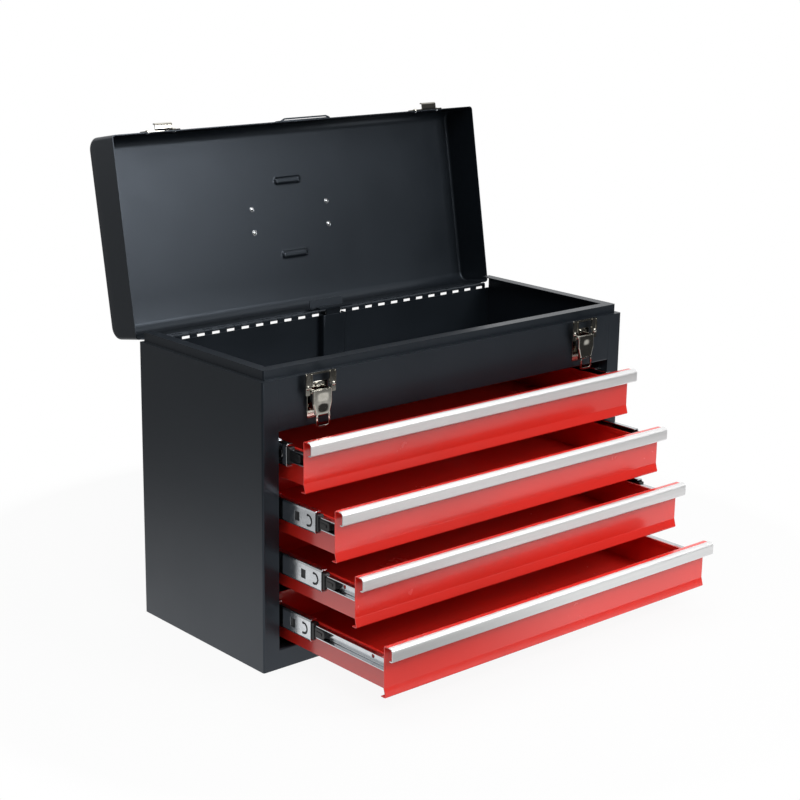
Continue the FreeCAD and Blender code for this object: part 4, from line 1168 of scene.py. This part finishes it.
@dataclass(frozen=True)
class LidHardware:
    """Domed rivets, finger tab and bent catches, drawn with the lid shut."""

    frame: LidFrame
    wall: float = -109.0
    wall_sheet: float = 1.0
    inside_top: float = 357.7
    rivet_place: Pair = (55.0, 13.5)
    rivet_collar: Outline = (
        (0.0, 0.0), (3.3, 0.0), (3.3, 0.25), (3.1, 0.42), (2.7, 0.42), (2.45, 0.12), (2.2, 0.12),
    )
    rivet_head: Triple = (2.15, 0.8, 0.3)
    rivet_sides: int = 28
    catch_place: float = 192.0
    catch_rivets: Pair = (17.0, 318.7)
    catch_head: Pair = (2.4, 1.1)
    plate_half: float = 23.0
    plate_low: float = 312.6
    plate_high: float = 326.0
    plate_radius: float = 3.0
    sheet: float = 1.5
    hook_half: float = 11.0
    hook_reach: float = 9.0
    hook_low: float = 311.4
    hook_tip: float = 315.6
    hook_gap: float = 0.2
    hook_bends: Pair = (1.9, 1.5)
    pull_half: float = 36.0
    pull_low: float = 309.5
    pull_high: float = 320.5
    pull_radius: float = 1.2
    pull_reach: float = 3.5
    pull_band: float = 1.8
    pull_root: Pair = (1.0, 0.3)
    pull_slope: float = 6.0
    pull_bend: float = 4.0

    def rivet_profile(self) -> list[Pair]:
        """Profile of a rivet of the lid: a dished collar round a quarter-ellipse head."""
        return [*self.rivet_collar, *quarter(*self.rivet_head)]

    def rivets(self) -> Skin:
        """Four heads under the top and two behind each catch.

        Returns:
            The heads as one surface.
        """
        x, y = self.rivet_place
        step, z = self.catch_rivets
        behind = self.wall + self.wall_sheet
        down = spun(self.rivet_profile(), self.rivet_sides, Axis.Z, -1.0)
        back = spun(self.rivet_profile(), self.rivet_sides, Axis.Y)
        pairs = [(way, fore) for way in (-1, 1) for fore in (-1, 1)]
        top = self.inside_top * MM
        heads = [down.moved(x * way * MM, y * fore * MM, top) for way, fore in pairs]
        heads += [
            back.moved((self.catch_place * way + step * fore) * MM, behind * MM, z * MM)
            for way, fore in pairs
        ]
        return Skin.joined(*heads)

    def catch(self) -> Skin:
        """Foot plate with round corners, its two rivets and a J-shaped hook.

        Returns:
            The catch at the middle of the lid's width.
        """
        face = self.wall - self.sheet
        edges = self.plate_half, self.plate_low, self.plate_high, self.plate_radius
        plate = round_plate(*edges, face, self.wall)
        half = self.sheet / 2
        inner = self.wall - half - self.hook_gap
        outer = self.wall - self.hook_reach + half
        level = self.hook_low + half
        corners = [(inner, self.plate_high), (inner, level), (outer, level), (outer, self.hook_tip)]
        outline = bent_sheet(corners, self.hook_bends, self.sheet)
        hook = along_x(outline, -self.hook_half * MM, self.hook_half * MM)
        step, z = self.catch_rivets
        head = spun(dome(*self.catch_head), HEAD_SIDES, Axis.Y, -1.0)
        heads = [head.moved(step * way * MM, face * MM, z * MM) for way in (-1, 1)]
        return Skin.joined(plate, hook, *heads)

    def pull(self) -> Skin:
        """Finger tab: a plate on the wall and a strap with sloping ends, open behind.

        Returns:
            The tab's surface.
        """
        sheet = self.wall_sheet
        edges = self.pull_half, self.pull_low, self.pull_high, self.pull_radius
        plate = round_plate(*edges, self.wall - sheet, self.wall)
        out = self.wall - self.pull_reach + self.pull_band / 2
        side, depth = self.pull_root
        half = [(self.pull_half - self.pull_slope, out), (self.pull_half - side, self.wall - depth)]
        corners = [(-x, y) for x, y in half[::-1]] + half
        outline = bent_sheet(corners, (self.pull_bend,) * 2, self.pull_band)
        strap = along_x(outline, self.pull_low * MM, (self.pull_low + sheet) * MM)
        return Skin.joined(plate, strap.reordered((1, 2, 0)))

    def build(self, shop: Workshop) -> None:
        """Make the rivets, the finger tab and both catches.

        Args:
            shop: the workshop that makes the pieces.
        """
        rivets, pull = self.frame.opened(self.rivets()), self.frame.opened(self.pull())
        shop.piece("lid_domed_rivets", rivets, "lid", Slot.ZINC, ("lid_rivets",), None)
        shop.piece("formed_lid_pull", pull, "lid", Slot.BLACK, ("lid_pull",))
        for side, way in SIDES:
            catch = self.frame.opened(self.catch().moved(way * self.catch_place * MM))
            shop.piece("bent_catch_" + side, catch, "lid", Slot.NICKEL, ("catch_" + side,))


@dataclass(frozen=True)
class Lever:
    """Latch lever with its finger loop, drawn round its pivot."""

    sheet: float = 1.0
    face: float = -3.1
    half: float = 12.4
    waist: float = 9.4
    top: float = 1.2
    taper_top: float = -13.0
    foot: float = -24.4
    flange: float = 2.4
    flange_low: float = -1.3
    cheek_top: float = -7.0
    cheek_foot: float = -12.5
    bend: float = 1.5
    rows: int = 40
    columns: int = 60
    dish_depth: float = 0.8
    dish_half: float = 8.5
    dish_edges: Pair = (2.0, -2.0)
    dish_slope: float = 9.0
    loop_half: float = 7.8
    loop_band: float = 2.3
    loop_length: float = 38.0
    loop_radius: float = 3.2
    loop_overlap: float = 1.5
    loop_thickness: float = 1.2

    def plate(self) -> Skin:
        """Face with two turned cheeks, narrower below, dished in the middle.

        Each level's section is a bent line of the face and both cheeks, read at
        even steps. The face is pushed in by the dish's depth times one smooth
        step across and one along, both falling to zero at the dish's edge.

        Returns:
            The lever's plate.
        """
        heights = np.linspace(self.foot, self.top, self.rows)
        fall = np.clip((self.taper_top - heights) / (self.taper_top - self.foot), 0, 1)
        half = self.half - self.sheet / 2 + (self.waist - self.half) * fall
        drop = smooth_step((self.cheek_top - heights) / (self.cheek_top - self.cheek_foot))
        reach = self.flange + (self.flange_low - self.flange) * drop
        low, high = self.dish_edges
        along = smooth_step((heights - self.foot - low) / self.dish_slope)
        along = along * smooth_step((high - heights) / self.dish_slope)
        outlines = []
        for wide, edge, share in zip(half, reach, along):
            corners = [(-wide, edge), (-wide, self.face), (wide, self.face), (wide, edge)]
            line, tangents = evened(*bent_line(corners, (self.bend,) * 2), self.columns)
            across = smooth_step(1 - np.abs(line[:, 0]) / MM / self.dish_half)
            line[:, 1] += self.dish_depth * MM * across * share
            outlines.append(sheet_outline(line, tangents, self.sheet * MM))
        return carried(np.array(outlines), heights * MM).reordered((1, 2, 0))

    def loop(self) -> Skin:
        """Open finger loop: a U of flat band below the lever's foot.

        Returns:
            The loop's surface.
        """
        low = -self.loop_length + self.loop_band / 2
        root = self.foot + self.loop_overlap
        half = [(self.loop_half, low), (self.loop_half, root)]
        corners = [(-x, z) for x, z in half[::-1]] + half
        outline = bent_sheet(corners, (self.loop_radius,) * 2, self.loop_band)
        near, far = self.face - self.loop_thickness / 2, self.face + self.loop_thickness / 2
        return along_x(outline, near * MM, far * MM).reordered((1, 0, 2))


@dataclass(frozen=True)
class DrawPlate:
    """Draw plate of a latch, drawn round the lever's pivot."""

    outside: float = 19.25
    inside: float = 13.4
    top: float = 19.4
    bar: float = 2.2
    bar_radius: float = 0.3
    shoulder: float = 6.2
    foot: float = -3.6
    foot_radius: float = 1.2
    thickness: float = 1.2
    wide: float = 8.4
    wide_low: float = 4.6
    wide_radius: float = 1.4
    wide_front: float = -0.2
    boss: Triple = (16.4, 4.6, 2.7)
    boss_height: float = 1.5
    rib_inset: float = 0.9
    rib_half: float = 0.8
    rib_ends: Pair = (1.2, 1.4)
    rib_radius: float = 0.6
    rib_depth: Pair = (-0.8, 0.3)

    def skin(self) -> Skin:
        """Two legs, wide above and thin below, with ribs and bosses, under a top bar.

        Returns:
            The plate's surface.
        """
        leg = (self.outside - self.inside) / 2
        ankle = leg, self.foot, self.shoulder, self.foot_radius
        thin = round_plate(*ankle, 0.0, self.thickness).moved((self.outside - leg) * MM)
        half = self.wide / 2
        blade = half, self.wide_low, self.top, self.wide_radius
        wide = round_plate(*blade, self.wide_front, self.thickness)
        wide = wide.moved((self.outside - half) * MM)
        span = self.outside - half, self.top - self.bar, self.top, self.bar_radius
        bar = round_plate(*span, 0.0, self.thickness)
        x, z, radius = self.boss
        boss = spun(dome(radius, self.boss_height), HEAD_SIDES, Axis.Y, -1.0)
        boss = boss.moved(x * MM, 0.0, z * MM)
        low, high = self.rib_ends
        edges = self.rib_half, self.wide_low + low, self.top - high, self.rib_radius
        rib = round_plate(*edges, *self.rib_depth)
        places = (self.outside - self.wide + self.rib_inset, self.outside - self.rib_inset)
        ribs = [rib.moved(place * MM) for place in places]
        right = Skin.joined(thin, wide, boss, *ribs)
        return Skin.joined(right, right.mirrored(), bar)


@dataclass(frozen=True)
class Latches:
    """The two draw latches: levers, draw plates and the heads of their pins."""

    lever: Lever = Lever()
    plate: DrawPlate = DrawPlate()
    pin_head: Pair = (2.4, 1.3)

    def build(self, shop: Workshop) -> None:
        """Make both levers, both draw plates and the heads of the pins.

        Args:
            shop: the workshop that makes the pieces.
        """
        lever = Skin.joined(self.lever.plate(), self.lever.loop())
        plate = self.plate.skin()
        head = spun(dome(*self.pin_head), HEAD_SIDES, Axis.X).moved(self.lever.half * MM)
        heads = Skin.joined(head, head.mirrored())
        for side, _ in SIDES:
            name, bail = "latch_lever_" + side, "latch_bail_" + side
            _, y, z = joint_row("lever_hinge_" + side)["pos_m"]
            low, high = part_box(name)
            place = (low.x + high.x) / 2, y, z
            shop.piece("formed_" + name, lever.moved(*place), name, Slot.NICKEL, (name,))
            shop.piece("formed_" + bail, plate.moved(*place), bail, Slot.NICKEL, (bail,))
            shop.piece("pin_heads_" + side, heads.moved(*place), "case", Slot.NICKEL, (), None)


@dataclass(frozen=True)
class Drawers:
    """Folded fronts, rolled pull strips and slide noses of the four drawers."""

    sheet: float = 1.0
    height: float = 53.9
    nose_reach: float = 12.0
    nose_drop: float = 8.0
    hem: float = 4.5
    flare: float = 2.8
    flare_rise: float = 10.0
    strip_cover: float = 5.0
    strip_height: float = 14.4
    strip_return: float = 4.5
    front_bends: tuple[float, ...] = (0.95, 5.0, 1.1, 2.7)
    strip_bends: tuple[float, ...] = (3.7, 1.3)
    front_points: int = 9
    strip_points: int = 11
    collar: Outline = ((3.0, 8.8), (-2.6, 8.8), (-3.4, 8.0))
    collar_sides: Pair = (229.2, 236.2)
    tongue_root: Pair = (-3.0, 5.2)
    tongue_tip: Pair = (-19.3, 4.2)
    tongue_end: float = 3.0
    tongue_blunt: float = 0.75
    tongue_rows: int = 24
    tongue_sides: Pair = (228.7, 235.2)
    rib_share: float = 0.35
    rib_rows: tuple[int, int] = (4, -6)
    rib_sides: Pair = (235.0, 235.9)
    backing: Outline = ((2.5, 9.2), (33.5, 9.2))
    backing_sides: Pair = (235.0, 236.25)

    def front(self) -> Array:
        """Outline of the front, from its hem over the flare to the nose.

        Returns:
            The outline's points (y, z).
        """
        half = self.sheet / 2
        nose = half - self.nose_reach
        corners = [
            (self.hem, half), (half - self.flare, half), (half, self.flare_rise),
            (half, self.height - half), (nose, self.height - half),
            (nose, self.height - self.nose_drop),
        ]
        return bent_sheet(corners, self.front_bends, self.sheet, self.front_points)

    def strip(self) -> Array:
        """Outline of the strip, rolled over the nose and turned in below.

        Returns:
            The outline's points (y, z).
        """
        half = self.sheet / 2
        crest = self.height + half
        foot = crest - self.strip_height + self.sheet
        face = -self.nose_reach - half
        corners = [(face + half + self.strip_cover, crest), (face, crest), (face, foot),
                   (face - half + self.strip_return, foot)]
        return bent_sheet(corners, self.strip_bends, self.sheet, self.strip_points)

    def bar(self, profile: Array, sides: Pair) -> Skin:
        """A bar along Y, as high on both sides of its middle as the profile says.

        Args:
            profile: place along Y and half height of each point.
            sides: where the bar begins and ends along X.

        Returns:
            The bar's surface.
        """
        outline = np.concatenate([profile, (profile * np.array((1.0, -1.0)))[::-1]]) * MM
        return along_x(outline, sides[0] * MM, sides[1] * MM)

    def nose(self) -> Skin:
        """Plastic guide: a collar at the middle member's front and a tapered tongue.

        The tongue's half height falls evenly, and at its end by the root of one
        less its bluntness times the square of the way along the end.

        Returns:
            Both noses of a drawer, round the middle member's front edge.
        """
        (root, high), (tip, low) = self.tongue_root, self.tongue_tip
        along = np.linspace(root, tip, self.tongue_rows)
        past = np.clip((tip + self.tongue_end - along) / self.tongue_end, 0, 1)
        half = np.interp(along, [tip, root], [low, high])
        half *= np.sqrt(1 - self.tongue_blunt * past ** 2)
        tongue = np.stack([along, half], -1)
        right = Skin.joined(
            self.bar(np.array(self.collar), self.collar_sides),
            self.bar(tongue, self.tongue_sides),
            self.bar(tongue[slice(*self.rib_rows)] * (1.0, self.rib_share), self.rib_sides),
            self.bar(np.array(self.backing), self.backing_sides),
        )
        return Skin.joined(right, right.mirrored())

    def build(self, shop: Workshop) -> None:
        """Make the front, the strip and the slides' plastic noses of each drawer.

        Args:
            shop: the workshop that makes the pieces.
        """
        folded = (
            ("drawer_front", self.front(), Slot.RED),
            ("pull_strip", self.strip(), Slot.ALUMINIUM),
        )
        for drawer in (1, 2, 3, 4):
            for kind, outline, slot in folded:
                node = "%s_%d" % (kind, drawer)
                low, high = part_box(node)
                skin = along_x(outline, low.x, high.x)
                shift = low.y - skin.points[:, 1].min(), low.z - skin.points[:, 2].min()
                body = "drawer_%d" % drawer
                shop.piece("bent_" + node, skin.moved(0.0, *shift), body, slot, (node,))
            low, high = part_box("middle_member_%d" % drawer)
            nose = self.nose().moved(0.0, low.y, (low.z + high.z) / 2)
            name = "slide_bumper_%d" % drawer
            shop.piece("tapered_" + name, nose, "runner_%d" % drawer, Slot.PLASTIC, (name,))


# Studio

@dataclass(frozen=True)
class Camera:
    """Camera that stands where the photograph was taken from."""

    lens: float = 80.02
    sensor: float = 36.0
    sight: float = 50.0
    place: Triple = (-1.26795, -1.45822, 0.75423)
    yaw: float = 0.721748344
    pitch: float = 0.268262562
    roll: float = -0.0155074167

    def axes(self) -> Matrix:
        """Turn of the camera.

        Returns:
            Right, up and backward as columns: right and up are rolled about the
            line of sight.
        """
        forward = Vector((
            math.sin(self.yaw) * math.cos(self.pitch),
            math.cos(self.yaw) * math.cos(self.pitch),
            -math.sin(self.pitch),
        ))
        right = Vector((math.cos(self.yaw), -math.sin(self.yaw), 0.0))
        down = forward.cross(right)
        turned_right = math.cos(self.roll) * right + math.sin(self.roll) * down
        turned_down = math.cos(self.roll) * down - math.sin(self.roll) * right
        return Matrix((turned_right, -turned_down, -forward)).transposed()

    def build(self) -> None:
        """Make the camera and take it into use."""
        data = bpy.data.cameras.new("camera")
        data.lens = self.lens
        data.sensor_width = self.sensor
        data.clip_end = self.sight
        camera = linked("camera", data)
        camera.matrix_world = Matrix.Translation(self.place) @ self.axes().to_4x4()
        bpy.context.scene.camera = camera


@dataclass(frozen=True)
class Softbox:
    """A large soft lamp aimed at the box."""

    name: str
    place: Triple
    size: Pair
    power: float
    aim: Triple = (0.0, 0.0, 0.2)

    def build(self) -> None:
        """Make the lamp."""
        data = bpy.data.lights.new(self.name, "AREA")
        data.shape = "RECTANGLE"
        data.size, data.size_y = self.size
        data.energy = self.power
        lamp = linked(self.name, data)
        lamp.location = self.place
        toward = Vector(self.aim) - Vector(self.place)
        lamp.rotation_euler = toward.to_track_quat("-Z", "Y").to_euler()


@dataclass(frozen=True)
class Sky:
    """Surroundings: bright behind and above, dim in front on the right."""

    toward: Triple = (0.20, 0.47, 0.86)
    dim: float = 0.10
    bright: float = 1.0
    as_light: float = 0.62
    start: float = 0.14
    end: float = 0.52

    def build(self) -> None:
        """Make the world: its brightness follows the direction's share along one axis."""
        world = bpy.data.worlds.new("surroundings")
        world.use_nodes = True
        bpy.context.scene.world = world
        tree = Tree(world.node_tree)
        background = world.node_tree.nodes["Background"]
        way = tree.add("TexCoord").outputs["Generated"]
        along = tree.work("VectorMath", "DOT_PRODUCT", way, self.toward).outputs["Value"]
        fade = tree.ranged(along, self.start, self.end, self.dim, self.bright)
        ray = tree.add("LightPath").outputs
        seen = tree.maths("MAXIMUM", ray["Is Camera Ray"], ray["Is Transmission Ray"])
        share = tree.maths("MAXIMUM", ray["Is Glossy Ray"], self.as_light)
        light = tree.maths("MULTIPLY", fade, share)
        tree.feed(background.inputs["Color"], (1.0, 1.0, 1.0, 1.0))
        tree.feed(background.inputs["Strength"], tree.maths("MAXIMUM", seen, light))


@dataclass(frozen=True)
class Floor:
    """Plain floor, white for the camera, whose far part dims in reflections."""

    reach: float = 14.0
    albedo: float = 0.62
    flag_albedo: float = 0.10
    roughness: float = 0.9
    specular: float = 0.1
    flag_toward: Triple = (0.62, -0.78, 0.0)
    flag_range: Pair = (0.82, 1.16)
    shown_near: float = 0.92
    shown_range: Pair = (0.25, 0.60)
    mirrored_near: float = 1.15
    mirrored_far: float = 0.28
    mirrored_flag: float = 0.06
    mirrored_centre: Triple = (0.34, -0.38, 0.0)
    mirrored_range: Pair = (0.70, 1.40)
    mirrored_card: float = 0.35
    card_centre: Triple = (-0.14, -0.44, 0.0)
    card_range: Pair = (0.08, 0.28)

    def build(self) -> None:
        """Make the floor and its material."""
        corners = np.array([(-1, -1, 0), (1, -1, 0), (1, 1, 0), (-1, 1, 0)], float) * self.reach
        mesh = bpy.data.meshes.new("floor")
        mesh.from_pydata(corners.tolist(), [], [(0, 1, 2, 3)])
        floor = linked("floor", mesh)
        mesh.materials.append(self.material())

    def distance(self, tree: Tree, place: Socket, centre: Triple, reach: tuple) -> Socket:
        """Smooth step of the distance from a centre.

        Args:
            tree: the floor's tree.
            place: the point on the floor.
            centre: where the distance is measured from.
            reach: distances at which the step begins and ends.

        Returns:
            The step's socket.
        """
        away = tree.work("VectorMath", "DISTANCE", place, centre).outputs["Value"]
        return tree.ranged(away, *reach)

    def mirrored(self, tree: Tree, place: Socket, flag: Socket) -> Socket:
        """Brightness of the floor in reflections.

        It falls with the distance from a centre, and is low beyond the flag and
        on a round card in front of the box.

        Args:
            tree: the floor's tree.
            place: the point on the floor.
            flag: share of the dark part beyond the front right.

        Returns:
            The brightness's socket.
        """
        beyond = self.distance(tree, place, self.mirrored_centre, self.mirrored_range)
        falling = tree.mix(Blend.NUMBER, beyond, self.mirrored_near, self.mirrored_far)
        off_card = self.distance(tree, place, self.card_centre, self.card_range)
        open_floor = tree.mix(Blend.NUMBER, flag, falling, self.mirrored_flag)
        return tree.mix(Blend.NUMBER, off_card, self.mirrored_card, open_floor)

    def material(self) -> bpy.types.Material:
        """Pale matt floor, dark beyond the front right, white where the camera sees it.

        Returns:
            The floor's material.
        """
        material = bpy.data.materials.new("floor_white")
        material.use_nodes = True
        tree = Tree(material.node_tree)
        shader = material.node_tree.nodes["Principled BSDF"]
        shader.inputs["Roughness"].default_value = self.roughness
        shader.inputs["Specular IOR Level"].default_value = self.specular
        place = tree.add("TexCoord").outputs["Object"]
        along = tree.work("VectorMath", "DOT_PRODUCT", place, self.flag_toward).outputs["Value"]
        flag = tree.ranged(along, *self.flag_range)
        pale, dark = [(grey, grey, grey, 1.0) for grey in (self.albedo, self.flag_albedo)]
        tree.feed(shader.inputs["Base Color"], tree.mix(Blend.COLOUR, flag, pale, dark))
        far = self.distance(tree, place, (0.0, 0.0, 0.0), self.shown_range)
        ray = tree.add("LightPath").outputs
        mirrored = self.mirrored(tree, place, flag)
        strength = tree.mix(Blend.NUMBER, ray["Is Camera Ray"], mirrored, 1.0)
        white = tree.add("Emission", Color=(1.0, 1.0, 1.0, 1.0), Strength=strength)
        shown = tree.maths("MAXIMUM", far, self.shown_near)
        seen = tree.maths("MULTIPLY", ray["Is Camera Ray"], shown)
        share = tree.maths("MAXIMUM", seen, ray["Is Glossy Ray"])
        blend = tree.add("MixShader")
        for target, value in zip(blend.inputs, (share, shader.outputs[0], white.outputs[0])):
            tree.feed(target, value)
        output = material.node_tree.nodes["Material Output"]
        tree.feed(output.inputs["Surface"], blend.outputs[0])
        return material


class Studio:
    """Pale floor, surroundings, soft lamps and the camera."""

    LAMPS = (
        Softbox("key", (-1.0, -2.1, 2.5), (2.0, 1.6), 46.0),
        Softbox("front", (0.50, -1.30, 0.88), (0.5, 0.5), 11.0, (-0.1, 0.1, 0.40)),
        Softbox("top", (0.1, 0.5, 2.8), (2.6, 2.2), 34.0),
    )

    def build(self) -> None:
        """Make the surroundings, the floor, the lamps and the camera."""
        for item in (Sky(), Floor(), *self.LAMPS, Camera()):
            item.build()
        bpy.context.scene.view_settings.view_transform = "Standard"


def main() -> None:
    """Dress the nodes, build the pieces and set the studio."""
    logging.basicConfig(level=logging.INFO, format="%(message)s")
    paint = Paintshop()
    paint.dress_nodes()
    for node in frame["nodes"].values():
        NODE_SOFTENER.soften(node)
    workshop = Workshop(paint)
    lid = LidFrame.from_joint()
    for assembly in (Lid(lid), Handle(), LidHardware(lid), Latches(), Drawers()):
        assembly.build(workshop)
    Studio().build()


if __name__ == "__main__":
    main()
